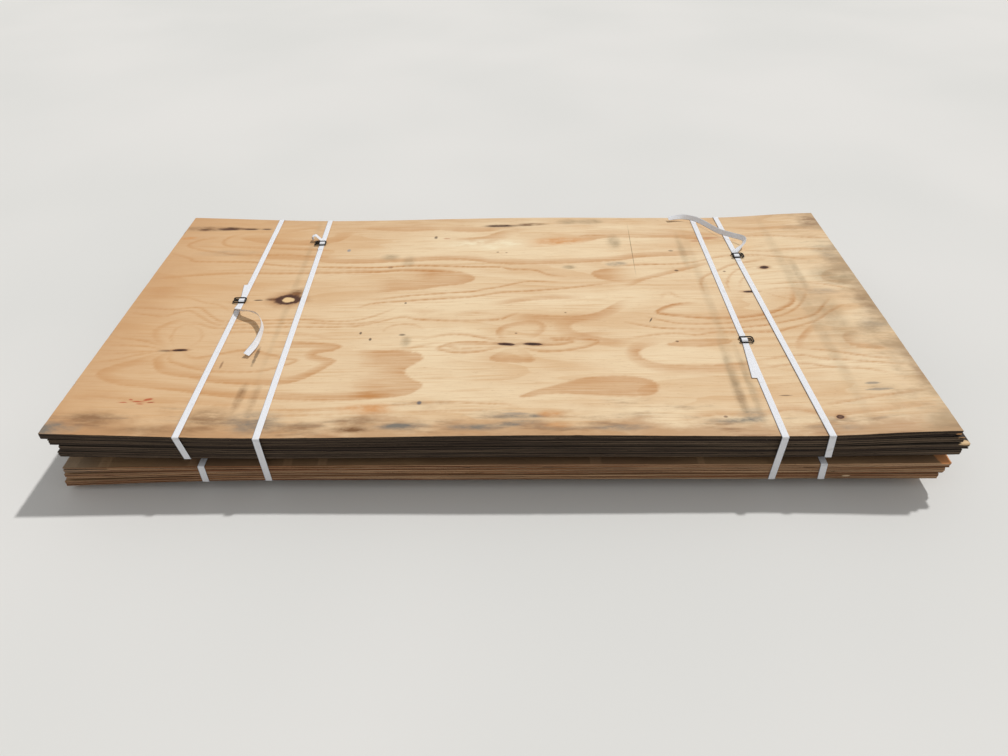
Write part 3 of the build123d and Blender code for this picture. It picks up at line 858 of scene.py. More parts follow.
@dataclass(frozen=True)
class TopVeneer(RotaryPine):
    """The top face: sun-faded rotary-cut pine with knots, pitch, strap dirt and grey edges.

    The sun has bleached its middle and left it warm toward the left end.
    """

    flame: str = "bd8249"
    warm: str = "cc9b68"
    smeared: str = "7a6a58"
    near_edge: str = "b08156"
    far_edge: str = "c0946a"
    left_end: str = "bd8d62"
    right_end: str = "a18563"
    halo: str = "a06a3c"
    bark: str = "43241a"
    sheet: "SheetLooks | None" = None

    def seat(self, mark: "Knot | Pit") -> tuple[float, float]:
        """Find where on the bent face a mark traced on the level plan lies.

        Args:
            mark: The mark, with its place on the plan in mm.

        Returns:
            Its place on the face in mm.
        """
        height = float(self.sheet.level(np.array([mark.x * MM]))[0]) + SHEET_THICKNESS
        share = (EYE[2] - height) / (EYE[2] - PLAN_HEIGHT)
        spot = EYE[:2] / MM + (np.array([mark.x, mark.y]) - EYE[:2] / MM) * share
        return float(spot[0]), float(spot[1])

    def rings(self, shader: Shader, color: Socket) -> Socket:
        """Draw the traced growth rings from the face's own attribute.

        Args:
            shader: The material's nodes.
            color: The wood's colour.

        Returns:
            The colour with the rings.
        """
        shade = shader.node("Attribute", out="Fac", attribute_name="latewood")
        blotch = shader.grain((3.0, 12.0, 1.0), 3.0, 0.6)
        streak = shader.grain((6.0, 260.0, 1.0), 3.0, 0.6)
        uneven = ((blotch, 0.3, 0.7, 0.95, 1.5), (streak, 0.3, 0.7, 0.6, 1.25))
        return shader.lay(color, self.flame, shader.product(shade, *uneven, clamp=True))

    def edges(self, shader: Shader, color: Socket) -> Socket:
        """Weather the face toward its edges, most at the near one and the two ends.

        Args:
            shader: The material's nodes.
            color: The colour so far.

        Returns:
            The weathered colour.
        """
        x = shader.node("SeparateXYZ", {0: shader.place})
        y = x.node.outputs[1]
        spread = shader.grain((7.0, 16.0, 1.0), 5.0, 0.62)
        shift = shader.product(shader.total(spread, -0.5), 0.3)
        smear = shader.grain((5.0, 30.0, 1.0), 5.0, 0.6)
        near = shader.total(y, shift)
        color = shader.lay(color, self.warm, (x, -1.2, -0.1, 0.62, 0.0))
        color = shader.lay(color, self.smeared, (smear, 0.5, 0.66), (near, -0.62, -0.47, 0.9, 0.0))
        color = shader.lay(color, self.near_edge, (near, -0.62, -0.5, 0.66, 0.0))
        color = shader.lay(color, self.far_edge, (near, 0.48, 0.68, 0.0, 0.45))
        color = shader.lay(color, self.left_end, (shader.total(x, shift), -1.26, -1.02, 0.4, 0.0))
        right = shader.total(x, (shift, 2.0))
        return shader.lay(color, self.right_end, (right, 1.08, 1.3, 0.0, 0.75))

    def knots(self, shader: Shader, color: Socket) -> Socket:
        """Draw each knot: a dark ragged ring with a faint halo, and its heart inside it.

        Args:
            shader: The material's nodes.
            color: The colour so far.

        Returns:
            The colour with the knots.
        """
        jitter = shader.grain((34.0, 34.0, 34.0), 4.0, 0.62)
        ragged = shader.product(shader.total(jitter, -0.5), 0.9)
        for knot in KNOTS:
            reach = shader.oval(self.seat(knot), (knot.length, knot.width), knot.turn)
            reach = shader.total(reach, ragged)
            color = shader.lay(color, self.halo, (reach, 1.0, 2.4, 0.5, 0.0))
            color = shader.lay(color, self.bark, (reach, 0.95, 1.35, 0.95, 0.0))
            color = shader.lay(color, knot.heart, (reach, 0.4, 0.64, 1.0, 0.0))
        return color

    def stains(self, shader: Shader, color: Socket) -> Socket:
        """Lay the stains and pits over the wood, their outlines broken up by a noise.

        Args:
            shader: The material's nodes.
            color: The colour so far.

        Returns:
            The colour with the stains and pits.
        """
        coarse = shader.grain((16.0, 42.0, 1.0), 5.0, 0.68)
        broken = shader.product((coarse, 0.3, 0.68, 0.25, 1.35))
        soft = shader.grain((26.0, 34.0, 1.0), 4.0, 0.6)
        rubbed = shader.product((soft, 0.3, 0.7, 0.6, 1.25))
        for tone in Tone:
            cover = shader.node("Attribute", out="Fac", attribute_name=tone.name.lower())
            edge = rubbed if tone is Tone.DIRT else broken
            color = shader.lay(color, tone.value, shader.product(cover, edge, clamp=True))
        coarse = shader.total(coarse, -0.5)
        for pit in PITS:
            reach = shader.oval(self.seat(pit), (pit.length, pit.width), pit.turn)
            reach = shader.total(reach, (coarse, 2.2 * pit.ragged))
            color = shader.lay(color, pit.color, (reach, 0.4, 1.15, pit.share, 0.0))
        return color

    def build(self) -> bpy.types.Material:
        """Make the top face's material, with all its marks.

        Returns:
            The material.
        """
        shader = Shader(self.name)
        color, height = self.wood(shader)
        for layer in (self.rings, self.edges, self.stains, self.knots):
            color = layer(shader, color)
        rough = shader.grain((9.0, 9.0, 9.0), 3.0, 0.6)
        rough = shader.product((rough, 0.3, 0.7, 0.6, 0.8))
        return shader.finish(color, rough, height, 0.4, Specular_IOR_Level=0.25)


@dataclass(frozen=True)
class SawnEdge:
    """A sheet's sawn edge, left outdoors: plies of long and end grain between glued seams.

    Long grain stays smooth and light, end grain soaks up water and turns dark, and glued seams show
    as thin dark lines. The bottom of each edge is darkened with painted shade for the gap under the
    sheet. The edge map holds the way along the edge in metres and the ply from 0 to 5, or from
    END_PLIES on the short edges, where the plies change places.
    """

    name: str
    long_grain: str
    end_grain: str
    glue_and_gap_shade: str
    bright: str
    warm: str
    grime: str
    grime_share: float = 0.45
    patches: tuple[Patch, ...] = ()

    def build(self) -> bpy.types.Material:
        """Make the material.

        Returns:
            The material.
        """
        shader = Shader(self.name)
        edge = shader.node("UVMap", uv_map="edge")
        along = shader.node("SeparateXYZ", {0: edge})
        level = along.node.outputs[1]
        side = shader.node("Math", {0: level, 1: END_PLIES - 3.0}, operation="GREATER_THAN")
        level = shader.total(level, (side, -END_PLIES))
        ply = shader.node("Math", {0: level}, operation="FLOOR")
        part = shader.node("Math", {0: level}, operation="FRACT")
        odd = shader.node("Math", {0: ply, 1: 2.0}, operation="MODULO")
        end = shader.node("Math", {0: shader.total(odd, (side, -1.0))}, operation="ABSOLUTE")
        # Streaks 200 mm long, pores 2.4 mm wide and slow changes of tone along each ply
        flat = shader.node("CombineXYZ", {0: along, 1: level, 2: ply})
        streak = shader.grain((5.0, 5.5, 7.0), 5.0, 0.66, flat)
        pores = shader.grain((420.0, 2.0, 7.0), 2.0, 0.6, flat)
        slow = shader.grain((2.2, 0.35, 0.0), 3.0, 0.55, flat)
        band = shader.grain((0.7, 1.7, 3.0), 2.0, 0.5, flat)
        line = shader.node("Math", {0: shader.total(part, -0.5)}, operation="ABSOLUTE")
        color = shader.lay(self.long_grain, self.end_grain, end)
        color = shader.lay(color, self.bright, (band, 0.49, 0.56, 0.0, 0.85))
        color = shader.lay(color, self.warm, (band, 0.46, 0.38, 0.0, 0.8))
        color = shader.lay(color, self.bright, (streak, 0.52, 0.66, 0.0, 0.7))
        color = shader.lay(color, self.glue_and_gap_shade, (streak, 0.5, 0.34, 0.0, 0.9))
        color = shader.lay(color, self.glue_and_gap_shade, (pores, 0.45, 0.7), shader.product(end, 0.5))
        color = shader.lay(color, self.glue_and_gap_shade, (line, 0.36, 0.47, 0.0, 0.7))
        color = shader.lay(color, self.grime, (slow, 0.38, 0.66, 0.0, self.grime_share))
        # Painted shade: the lowest part of each edge is darkened nearly black, for the gap under the sheet
        color = shader.lay(color, self.glue_and_gap_shade, (level, 0.1, 0.7, 0.92, 0.0))
        color = shader.patched(color, self.patches)
        height = shader.total((streak, 0.7), (pores, 0.3))
        return shader.finish(color, 0.85, height, 0.8, Specular_IOR_Level=0.2)


@dataclass(frozen=True)
class CordStrap:
    """White polyester cord strapping: woven cords in a bonded coat, with a low sheen.

    The cords run lengthwise about 1.6 mm apart and a thin weft crosses them every 2.5 mm.
    Dust lies on it in places, and a thin grey line of painted shade runs along its left edge.
    """

    name: str = "woven_polyester"
    white: str = "fafafc"
    shade: str = "d6dae4"
    dust: str = "bdb3a6"
    left_edge_shade: str = "6d7380"
    cords: float = 12.0
    weft: float = 2.5

    def build(self) -> bpy.types.Material:
        """Make the material, which reads the way along and across the strap.

        Returns:
            The material.
        """
        shader = Shader(self.name)
        along = shader.node("Attribute", out="Fac", attribute_name="along")
        across = shader.node("Attribute", out="Fac", attribute_name="across")
        cord = shader.sine(across, 1 / self.cords)
        weft = shader.sine(along, self.weft * MM)
        dirt = shader.grain((35.0, 35.0, 35.0), 4.0, 0.6)
        color = shader.lay(self.white, self.shade, (cord, -1.0, -0.2, 0.55, 0.0))
        color = shader.lay(color, self.shade, (shader.product(cord, weft), -1.0, 0.6, 0.25, 0.0))
        color = shader.lay(color, self.dust, (dirt, 0.55, 0.8, 0.0, 0.3))
        # Painted shade: a thin grey line along the left edge, standing for the strap's shaded side and its
        # thin shadow
        color = shader.lay(color, self.left_edge_shade, (across, 0.02, 0.075, 0.8, 0.0))
        return shader.finish(color, 0.42, shader.total(cord, weft), 0.15, Specular_IOR_Level=0.5)


@dataclass(frozen=True)
class PhosphatedWire:
    """Phosphated steel wire: dark grey and matt, rubbed to bare steel on its crowns."""

    name: str = "phosphated_wire"
    dark: str = "1d1b18"
    bare: str = "75726c"

    def build(self) -> bpy.types.Material:
        """Make the material.

        Returns:
            The material.
        """
        shader = Shader(self.name)
        wear = shader.grain((160.0, 160.0, 160.0), 4.0, 0.6)
        color = shader.lay(self.dark, self.bare, (wear, 0.6, 0.75, 0.0, 0.7))
        rough = shader.product((wear, 0.4, 0.7, 0.6, 0.35))
        return shader.finish(color, rough, wear, 0.2, Metallic=0.75)


@dataclass(frozen=True)
class RoughLumber:
    """Rough-sawn softwood lumber in dark grey-browns, darkened with painted shade for the dark gaps under and
    between the bundles: saw marks every 6 mm or so, and dark checks.
    """

    name: str = "rough_lumber"
    # Painted shade: all three colours are darkened because the boards sit in the shade under and between the
    # bundles
    painted_lighting_tone: str = "6e5a45"
    grey: str = "4f463b"
    dark: str = "2e261f"
    saw_marks: float = 6.0

    def build(self) -> bpy.types.Material:
        """Make the material of boards whose grain runs along Y.

        Returns:
            The material.
        """
        shader = Shader(self.name)
        grain = shader.grain((70.0, 2.0, 90.0), 4.0, 0.6)
        broad = shader.grain((5.0, 5.0, 5.0), 3.0, 0.6)
        along = shader.node("SeparateXYZ", {0: shader.place}, out=1)
        saw = shader.sine(along, self.saw_marks * MM)
        color = shader.lay(self.painted_lighting_tone, self.grey, (broad, 0.3, 0.7))
        color = shader.lay(color, self.dark, (grain, 0.45, 0.72, 0.0, 0.8))
        return shader.finish(color, 0.85, shader.total(grain, (saw, 0.25)), 0.8, Specular_IOR_Level=0.2)


@dataclass(frozen=True)
class TornFibre:
    """Torn pine fibres: dull, and darker where the weather got in."""

    name: str
    color: str
    dark: str = "3a2c22"

    def build(self) -> bpy.types.Material:
        """Make the material.

        Returns:
            The material.
        """
        shader = Shader(self.name)
        tone = shader.grain((90.0, 90.0, 90.0), 2.0, 0.5)
        color = shader.lay(self.color, self.dark, (tone, 0.35, 0.65))
        return shader.finish(color, 0.9, Specular_IOR_Level=0.1)


@dataclass(frozen=True)
class PaleFloor:
    """A painted studio floor: matt, pale and a little uneven, so that it isn't a flat fill."""

    name: str = "pale_floor"
    color: str = "e4e2de"
    cloud: str = "deddd9"

    def build(self) -> bpy.types.Material:
        """Make the material.

        Returns:
            The material.
        """
        shader = Shader(self.name)
        cloud = shader.grain((0.6, 0.6, 0.6), 2.0, 0.5)
        color = shader.lay(self.color, self.cloud, (cloud, 0.3, 0.7))
        return shader.finish(color, 0.9, Specular_IOR_Level=0.1)


@dataclass(frozen=True)
class Void:
    """A gap in an edge where a ply is missing: its stretch of X in mm, its plies and depth."""

    start: float
    end: float
    low: float
    high: float
    depth: float


@dataclass(frozen=True)
class EdgeWear:
    """How ragged a sawn edge is, in mm.

    A line of random depths has its spacing and its greatest depth. Dents have the spacing of
    such a line, the level from 0 to 1 that it has to pass, and their depth for each 1 beyond.
    """

    ply: float = 0.35
    cross_share: float = 0.8
    broad: tuple[float, float] = (70.0, 0.9)
    fine: tuple[float, float] = (11.0, 0.5)
    chips: tuple[float, float, float] = (23.0, 0.86, 14.0)
    face_chips: float = 0.4
    groove: float = 0.5
    gaps: tuple[float, float, float] = (150.0, 0.7, 14.0)
    rounding: float = 0.12
    rim: float = 0.45
    nicks: tuple[float, float, float] = (30.0, 0.84, 5.0)
    void_ends: float = 12.0
    least: float = 0.05


WEAR = EdgeWear()

# Where the rows of points lie on an edge, in plies from the underside
ROWS = (0.0, 0.12, 0.5, 0.88)
MARKS = tuple(ply + row for ply in range(PLIES) for row in ROWS) + (float(PLIES),)

# How far a row's place on the edge map stays from the glued seam, in plies
SEAM = 1.0e-4

# The angle in degrees from which two faces meet in a sharp edge
SHARP_EDGE = 40.0


class SheetFaces:
    """A sheet's faces, each with its surface and its corners on the edge map."""

    def __init__(self) -> None:
        """Start with no face."""
        self.rings: list[tuple[int, ...]] = []
        self.corners: list[tuple[float, float]] = []
        self.kinds: list[int] = []

    def add(self, ring: tuple[int, ...], surface: Surface, corners: tuple = ()) -> None:
        """Add a face.

        Args:
            ring: The numbers of its points.
            surface: What it is.
            corners: Its corners on the edge map, or none for a face that isn't on it.
        """
        self.rings.append(ring)
        self.corners += corners or ((0.0, 0.0),) * len(ring)
        self.kinds.append(surface.value)

    def build(self, name: str, verts: np.ndarray) -> bpy.types.Mesh:
        """Make the mesh.

        Args:
            name: Its name.
            verts: Its points in metres.

        Returns:
            The mesh.
        """
        mesh = bpy.data.meshes.new(name)
        mesh.from_pydata(verts.tolist(), [], self.rings)
        layer = mesh.uv_layers.new(name="edge")
        layer.data.foreach_set("uv", np.array(self.corners, np.float32).ravel())
        mesh.polygons.foreach_set("material_index", self.kinds)
        mesh.polygons.foreach_set("use_smooth", [True] * len(self.rings))
        return mesh


@dataclass
class SheetLooks:
    """One sheet with worn edges. Its bend repeats the solid's, and lifts are in mm.

    A detailed sheet has its top face as a grid, whose points hold the latewood's darkness.
    """

    node: str
    lift_left: float
    bow: float
    lift_right: float
    ease_left: float
    ease_right: float
    seed: int
    voids: tuple[Void, ...] = ()
    detailed: bool = False
    hold_left: float = -620.0
    hold_right: float = 815.0
    step: float = 6.0
    step_across: float = 6.0

    def level(self, x: np.ndarray) -> np.ndarray:
        """Find how high the bent underside is.

        Args:
            x: Places along X in metres.

        Returns:
            The height at each in metres.
        """
        low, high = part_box(self.node)
        hold_left, hold_right = self.hold_left * MM, self.hold_right * MM
        middle = (hold_left + hold_right) / 2
        t_left = np.clip((hold_left - x) / (hold_left - low.x), 0, 1)
        t_right = np.clip((x - hold_right) / (high.x - hold_right), 0, 1)
        t_bow = np.clip(1 - np.abs(x - middle) / (hold_right - middle), 0, 1)
        left = 3 * self.ease_left * t_left**2 * (1 - t_left) + t_left**3
        right = 3 * self.ease_right * t_right**2 * (1 - t_right) + t_right**3
        rise = self.lift_left * left + self.lift_right * right + self.bow * (3 * t_bow**2 - 2 * t_bow**3)
        base = low.z - min(self.lift_left, self.lift_right, 0.0) * MM
        return base + rise * MM

    def cells(self) -> tuple[int, int]:
        """Count the columns of points along X and along Y.

        Returns:
            The two counts.
        """
        low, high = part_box(self.node)
        length = round((high.x - low.x) / (self.step * MM))
        return length, round((high.y - low.y) / (self.step_across * MM))

    def outline(self) -> tuple[np.ndarray, np.ndarray, np.ndarray, np.ndarray]:
        """Lay out the columns round the sheet.

        Returns:
            Each column's place, its outward way, its way along the edge and its side.
        """
        low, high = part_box(self.node)
        length, across = self.cells()
        xs = np.linspace(low.x, high.x, length + 1)
        ys = np.linspace(low.y, high.y, across + 1)
        legs = (
            (xs[:-1], np.full(length, low.y), (0, -1), Side.LONG),
            (np.full(across, high.x), ys[:-1], (1, 0), Side.END),
            (xs[:0:-1], np.full(length, high.y), (0, 1), Side.LONG),
            (np.full(across, low.x), ys[:0:-1], (-1, 0), Side.END),
        )
        places, ways, sides = [], [], []
        for leg_x, leg_y, way, side in legs:
            places.append(np.stack([leg_x, leg_y], 1))
            ways.append(np.tile(way, (len(leg_x), 1)).astype(float))
            sides.append(np.full(len(leg_x), side.value))
        ways = np.concatenate(ways)
        for corner in np.cumsum([0, length, across, length]):
            ways[corner] = ways[corner] + ways[corner - 1]
        places = np.concatenate(places)
        gaps = np.linalg.norm(np.roll(places, -1, 0) - places, axis=1)
        along = np.concatenate([[0], np.cumsum(gaps)])
        return places, ways, along, np.concatenate(sides)

    def recess(self, along: np.ndarray, places: np.ndarray) -> np.ndarray:
        """Work out how far each ply's edge stands back.

        Args:
            along: Each column's way along the edge in metres, and the whole way round.
            places: Each column's place in metres.

        Returns:
            The depth in metres by column and row.
        """
        draw = np.random.default_rng(self.seed)
        way = along[:-1] / MM

        def uneven(spacing: float, size: float) -> np.ndarray:
            """Return a random line round the sheet, from 0 to size in mm."""
            knots = np.arange(0, way[-1] + 2 * spacing, spacing)
            return np.interp(way, knots, draw.random(len(knots)) * size)

        def dents(spacing: float, floor: float, size: float) -> np.ndarray:
            """Return dents where a random line passes its floor."""
            return np.clip(uneven(spacing, 1.0) - floor, 0, 1) * size

        table = []
        for ply in range(PLIES):
            body = WEAR.ply * (1 + WEAR.cross_share * (ply % 2)) + uneven(*WEAR.broad) + uneven(*WEAR.fine)
            body = body + dents(*WEAR.chips) * (WEAR.face_chips if ply in (0, PLIES - 1) else 1.0)
            groove = body + WEAR.groove + dents(*WEAR.gaps)
            first = groove if ply else body + WEAR.groove
            table += [first, body + WEAR.rounding, body, body + WEAR.rounding]
        table.append(body + WEAR.rim + dents(*WEAR.nicks))
        result = np.array(table)
        marks = np.array(MARKS)
        x, near = places[:, 0] / MM, places[:, 1] < 0
        for void in self.voids:
            inside = near & (x > void.start) & (x < void.end)
            share = np.clip(np.minimum(x - void.start, void.end - x) / WEAR.void_ends, 0, 1)
            hit = (marks > void.low) & (marks < void.high)
            result[np.ix_(hit, inside)] += void.depth * share[inside]
        return np.clip(result, WEAR.least, None).T * MM

    def mesh(self) -> bpy.types.Mesh:
        """Build the sheet's closed mesh, with its edge map and the marks of its face.

        Returns:
            The mesh.
        """
        places, ways, along, sides = self.outline()
        recess = self.recess(along, places)
        points = np.zeros((len(places), len(MARKS), 3))
        for row, mark in enumerate(MARKS):
            flat = places - ways * recess[:, row : row + 1]
            points[:, row, :2] = flat
            points[:, row, 2] = self.level(flat[:, 0]) + SHEET_THICKNESS * mark / PLIES
        verts = points.reshape(-1, 3)
        faces = SheetFaces()
        self.wall(faces, along, sides)
        if self.detailed:
            verts = self.grid(faces, verts)
        else:
            self.lid(faces, Surface.TOP)
        self.lid(faces, Surface.UNDER)
        mesh = faces.build(self.node + "_looks", verts)
        if self.detailed:
            self.mark(mesh, verts)
        mesh.set_sharp_from_angle(angle=math.radians(SHARP_EDGE))
        mesh.update()
        return mesh

    def wall(self, faces: SheetFaces, along: np.ndarray, sides: np.ndarray) -> None:
        """Add the faces of the sheet's four edges.

        Args:
            faces: The sheet's faces.
            along: Each column's way along the edge in metres, and the whole way round.
            sides: Each column's side.
        """
        count, rows = len(sides), len(MARKS)
        for column in range(count):
            after = (column + 1) % count
            lift = END_PLIES * sides[column]
            u0, u1 = along[column : column + 2] + SHEET_SHIFT * self.seed
            for row in range(rows - 1):
                v0, v1 = MARKS[row] + lift + SEAM, MARKS[row + 1] + lift - SEAM
                start, end = column * rows + row, after * rows + row
                corners = ((u0, v0), (u1, v0), (u1, v1), (u0, v1))
                faces.add((start, end, end + 1, start + 1), Surface.EDGE, corners)

    def lid(self, faces: SheetFaces, surface: Surface) -> None:
        """Close the top or the underside with strips across the sheet.

        Args:
            faces: The sheet's faces.
            surface: The top or the underside.
        """
        length, across = self.cells()
        far, count, rows = length + across, 2 * (length + across), len(MARKS)
        row = 0 if surface is Surface.UNDER else rows - 1
        for strip in range(length):
            right = list(range(length + 1, far)) if strip == length - 1 else []
            left = list(range(far + length + 1, count)) if strip == 0 else []
            back = [far + length - strip - 1, (far + length - strip) % count]
            ring = [strip, strip + 1, *right, *back, *left]
            if surface is Surface.UNDER:
                ring.reverse()
            faces.add(tuple(column * rows + row for column in ring), surface)

    def grid(self, faces: SheetFaces, verts: np.ndarray) -> np.ndarray:
        """Fill the top face with a grid inside its rim.

        Args:
            faces: The sheet's faces.
            verts: The points so far.

        Returns:
            All the points.
        """
        low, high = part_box(self.node)
        length, across = self.cells()
        count, rows = 2 * (length + across), len(MARKS)
        index = np.zeros((length + 1, across + 1), int)
        index[:, 0] = np.arange(length + 1)
        index[length, :] = length + np.arange(across + 1)
        index[:, across] = length + across + length - np.arange(length + 1)
        index[0, 1:] = (2 * length + across + across - np.arange(1, across + 1)) % count
        index = index * rows + rows - 1
        xs = np.linspace(low.x, high.x, length + 1)[1:-1]
        ys = np.linspace(low.y, high.y, across + 1)[1:-1]
        inner_x, inner_y = np.meshgrid(xs, ys, indexing="ij")
        inner = np.stack([inner_x, inner_y, self.level(inner_x) + SHEET_THICKNESS], 2).reshape(-1, 3)
        index[1:length, 1:across] = len(verts) + np.arange(len(inner)).reshape(length - 1, across - 1)
        quads = np.stack([index[:-1, :-1], index[1:, :-1], index[1:, 1:], index[:-1, 1:]], 2)
        for quad in quads.reshape(-1, 4).tolist():
            faces.add(tuple(quad), Surface.TOP)
        return np.vstack([verts, inner])

    def mark(self, mesh: bpy.types.Mesh, verts: np.ndarray) -> None:
        """Store the rings' darkness and each kind of stain's cover at every point.

        Args:
            mesh: The sheet's mesh.
            verts: Its points in metres.
        """
        plan = traced(verts)
        on_top = verts[:, 2] > self.level(verts[:, 0]) + TOP_SHARE * SHEET_THICKNESS
        fields = {"latewood": ring_shade(plan) * on_top}
        for tone in Tone:
            clear = np.ones(len(verts))
            for stain in STAINS:
                if stain.tone is tone:
                    clear *= 1 - stain.cover(plan)
            fields[tone.name.lower()] = 1 - clear
        for name, values in fields.items():
            mesh.attributes.new(name, "FLOAT", "POINT").data.foreach_set("value", values.astype(np.float32))


@dataclass
class SheetStack:
    """All seven sheets, from the bottom up."""

    lower: tuple[SheetLooks, ...] = (
        SheetLooks("lower_sheet_1", -22.0, 0.0, -1.0, 0.5, 0.7, 1),
        SheetLooks("lower_sheet_2", -13.0, 1.4, 1.5, 0.6, 0.7, 2),
        SheetLooks("lower_sheet_3", -5.0, 2.8, 4.5, 0.9, 0.7, 3, voids=(
            Void(-1215, -1080, 3.05, 3.95, 16.0),
            Void(-570, -462, 2.9, 3.6, 7.0),
            Void(-455, -372, 2.9, 3.6, 7.0),
        )),
    )
    upper: tuple[SheetLooks, ...] = (
        SheetLooks("upper_sheet_1", 11.0, 2.8, 6.5, 0.7, 0.8, 4),
        SheetLooks("upper_sheet_2", 14.0, 4.0, 10.5, 0.7, 0.9, 5),
        SheetLooks("upper_sheet_3", 17.0, 5.5, 13.5, 0.7, 1.0, 6, voids=(Void(1216, 1245, 2.9, 4.1, 7.0),)),
        SheetLooks(
            "upper_sheet_4", 20.0, 7.0, 17.0, 0.7, 1.0, 7,
            voids=(Void(1201, 1230, 0.0, 1.1, 9.0),), detailed=True, step=8.0, step_across=5.2,
        ),
    )

    def dress_lower(self) -> None:
        """Build the lower bundle: red-brown edges, with a painted patch of sunlight on the wood at its right
        front corner.
        """
        # Painted sunlight: a bright orange patch on the top and edges at the right front corner, where the
        # sun reaches in under the upper bundle
        painted_lighting_tone = Patch((1217, -572, 101), (25, 62, 9), "eaa066", 0.92)
        split = Patch((962, -613, 50), (13, 10, 2.6), "e8cfa8")
        dusty_face = Patch((-1210, -600, 92), (170, 60, 16), "9a8770", 0.7, 0.1)
        dusty_edge = Patch((-1230, -610, 80), (190, 20, 24), "8a7a68", 0.6, 0.1)
        face = RotaryPine(
            "shaded_pine_face", "ab8862", "82603f", "563a2a", "6a5240", (painted_lighting_tone, dusty_face)
        ).build()
        edge = SawnEdge(
            "red_brown_sawn_edge", "a06e46", "54321f", "100703", "e2bb92", "84411f", "5c4230",
            patches=(painted_lighting_tone, split, dusty_edge),
        ).build()
        for sheet in self.lower:
            dress_sheet(sheet, (face, edge, face), "lower_plywood")

    def dress_upper(self) -> None:
        """Build the upper bundle: grey edges with pale chips at one corner, faces below the top painted dark
        as shade, and the sunny top face.
        """
        chips = (
            Patch((1242, -606, 169), (22, 16, 3.8), "ecca9c"),
            Patch((1227, -607, 191), (14, 14, 3.4), "cda173"),
            Patch((1214, -607, 206), (13, 10, 3.6), "b98a5e"),
        )
        top = TopVeneer("sun_faded_pine_face", sheet=self.upper[-1]).build()
        # Painted shade: the faces of the sheets under the top one, seen only at the steps of the ends and
        # underneath, are painted dark grey-brown
        face = RotaryPine("shaded_dark_pine_face", "40362c", "302720", "211b16", "383028", chips).build()
        edge = SawnEdge(
            "grey_sawn_edge", "3f3228", "1b1510", "050403", "806c57", "33211a", "261e19", patches=chips
        ).build()
        for sheet in self.upper:
            dress_sheet(sheet, (top if sheet.detailed else face, edge, face), "upper_plywood")


def dress_sheet(sheet: SheetLooks, materials: tuple[bpy.types.Material, ...], slot: str) -> None:
    """Build one sheet.

    Args:
        sheet: The sheet.
        materials: Its materials, in the order of Surface.
        slot: The record's material slot.
    """
    mesh = sheet.mesh()
    for material in materials:
        mesh.materials.append(material)
    place(bpy.data.objects.new(sheet.node + "_worn", mesh), slot, sheet.node)


def place(piece: bpy.types.Object, slot: str, *nodes: str) -> None:
    """Put a finished piece in the scene, on the stack's body, for the nodes it stands for.

    Args:
        piece: The object, with its place in its mesh.
        slot: The record's material slot, which this function doesn't use.
        nodes: The solids that it replaces.
    """
    bpy.context.scene.collection.objects.link(piece)
    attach(piece, BODY)
    if nodes:
        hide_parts(*nodes)
    LOG.info("%s: %d faces", piece.name, len(piece.data.polygons))


@dataclass(frozen=True)
class StrapSizes:
    """The strap's and the buckle wire's sizes in mm, as the solids have them.

    Levels are of a layer's or wire's middle over the first layer's, and the hump's sizes are
    of the second layer where it goes over the buckle, from the buckle's middle.
    """

    width: float = 19.0
    thickness: float = 0.8
    clearance: float = 0.3
    slack: float = 1.0
    bend: float = 2.4
    second_layer: float = 0.75
    wire_level: float = 3.2
    over_prongs: float = 5.65
    hump_reach: float = 17.5
    hump_foot: float = 11.9
    hump_head: float = 5.575
    hump_lead: float = 4.0
    hump_bend: float = 1.5
    leaf_bend: float = 1.0
    arch_bend: float = 4.0
    half_buckle: float = 20.0
    prong_tip: float = 4.5
    prong_spread: float = 4.0
    bar_spread: float = 14.0
    tight_turn: float = 4.9
    wide_turn: float = 7.0
    loop_step: float = 6.0
    layer_step: float = 5.0
    arch_step: float = 3.0
    curl_cuts: int = 7

    @property
    def off(self) -> float:
        """Return how far the first layer's middle lies off a sheet."""
        return self.clearance + self.thickness / 2


SIZES = StrapSizes()

# The way of a strap's width where it isn't turned, and of the folded arch's, in the buckle's frame
SQUARE = (1.0, 0.0, 0.0)
LENGTHWISE = (0.0, 1.0, 0.0)

# The cosine between two spans beyond which a corner counts as straight
STRAIGHT = -0.9999


@dataclass(frozen=True)
class Curl:
    """A loose end's stations in the buckle's frame: place, rise and the way its width points."""

    stations: tuple[tuple[tuple[float, float], float, tuple[float, float, float]], ...]
    forward: bool


CURL_A = Curl(
    (
        ((-3, -39), 0, (1.0, 0.0, 0.0)),
        ((2, -58), 5, (0.9, 0.1, -0.35)),
        ((18, -77), 15, (0.55, 0.3, -0.75)),
        ((46, -90), 21, (0.3, 0.6, -0.74)),
        ((80, -108), 23, (0.1, 0.45, -0.9)),
        ((103, -138), 24, (0.1, 0.25, -0.95)),
        ((118, -176), 20, (0.17, 0.25, -0.95)),
        ((118, -214), 13, (0.35, 0.2, -0.9)),
        ((113, -255), 9, (0.68, 0.1, -0.7)),
        ((97, -300), 5, (0.93, -0.1, -0.3)),
    ),
    True,
)
CURL_D = Curl(
    (
        ((0, 24), 0, (1.0, 0.0, 0.0)),
        ((20, 42), 8, (0.9, -0.1, 0.4)),
        ((42, 62), 17, (0.6, -0.3, 0.75)),
        ((46, 88), 21, (0.5, 0.0, 0.87)),
        ((18, 120), 17, (0.45, 0.25, 0.85)),
        ((-20, 158), 13, (0.43, 0.3, 0.85)),
        ((-48, 202), 12, (0.43, 0.32, 0.85)),
        ((-72, 240), 13, (0.4, 0.4, 0.83)),
        ((-98, 266), 14, (0.25, 0.5, 0.83)),
        ((-130, 280), 14, (0.05, 0.6, 0.8)),
        ((-158, 283), 12, (0.0, 0.8, 0.6)),
        ((-192, 279), 9, (0.0, 0.95, 0.3)),
    ),
    False,
)
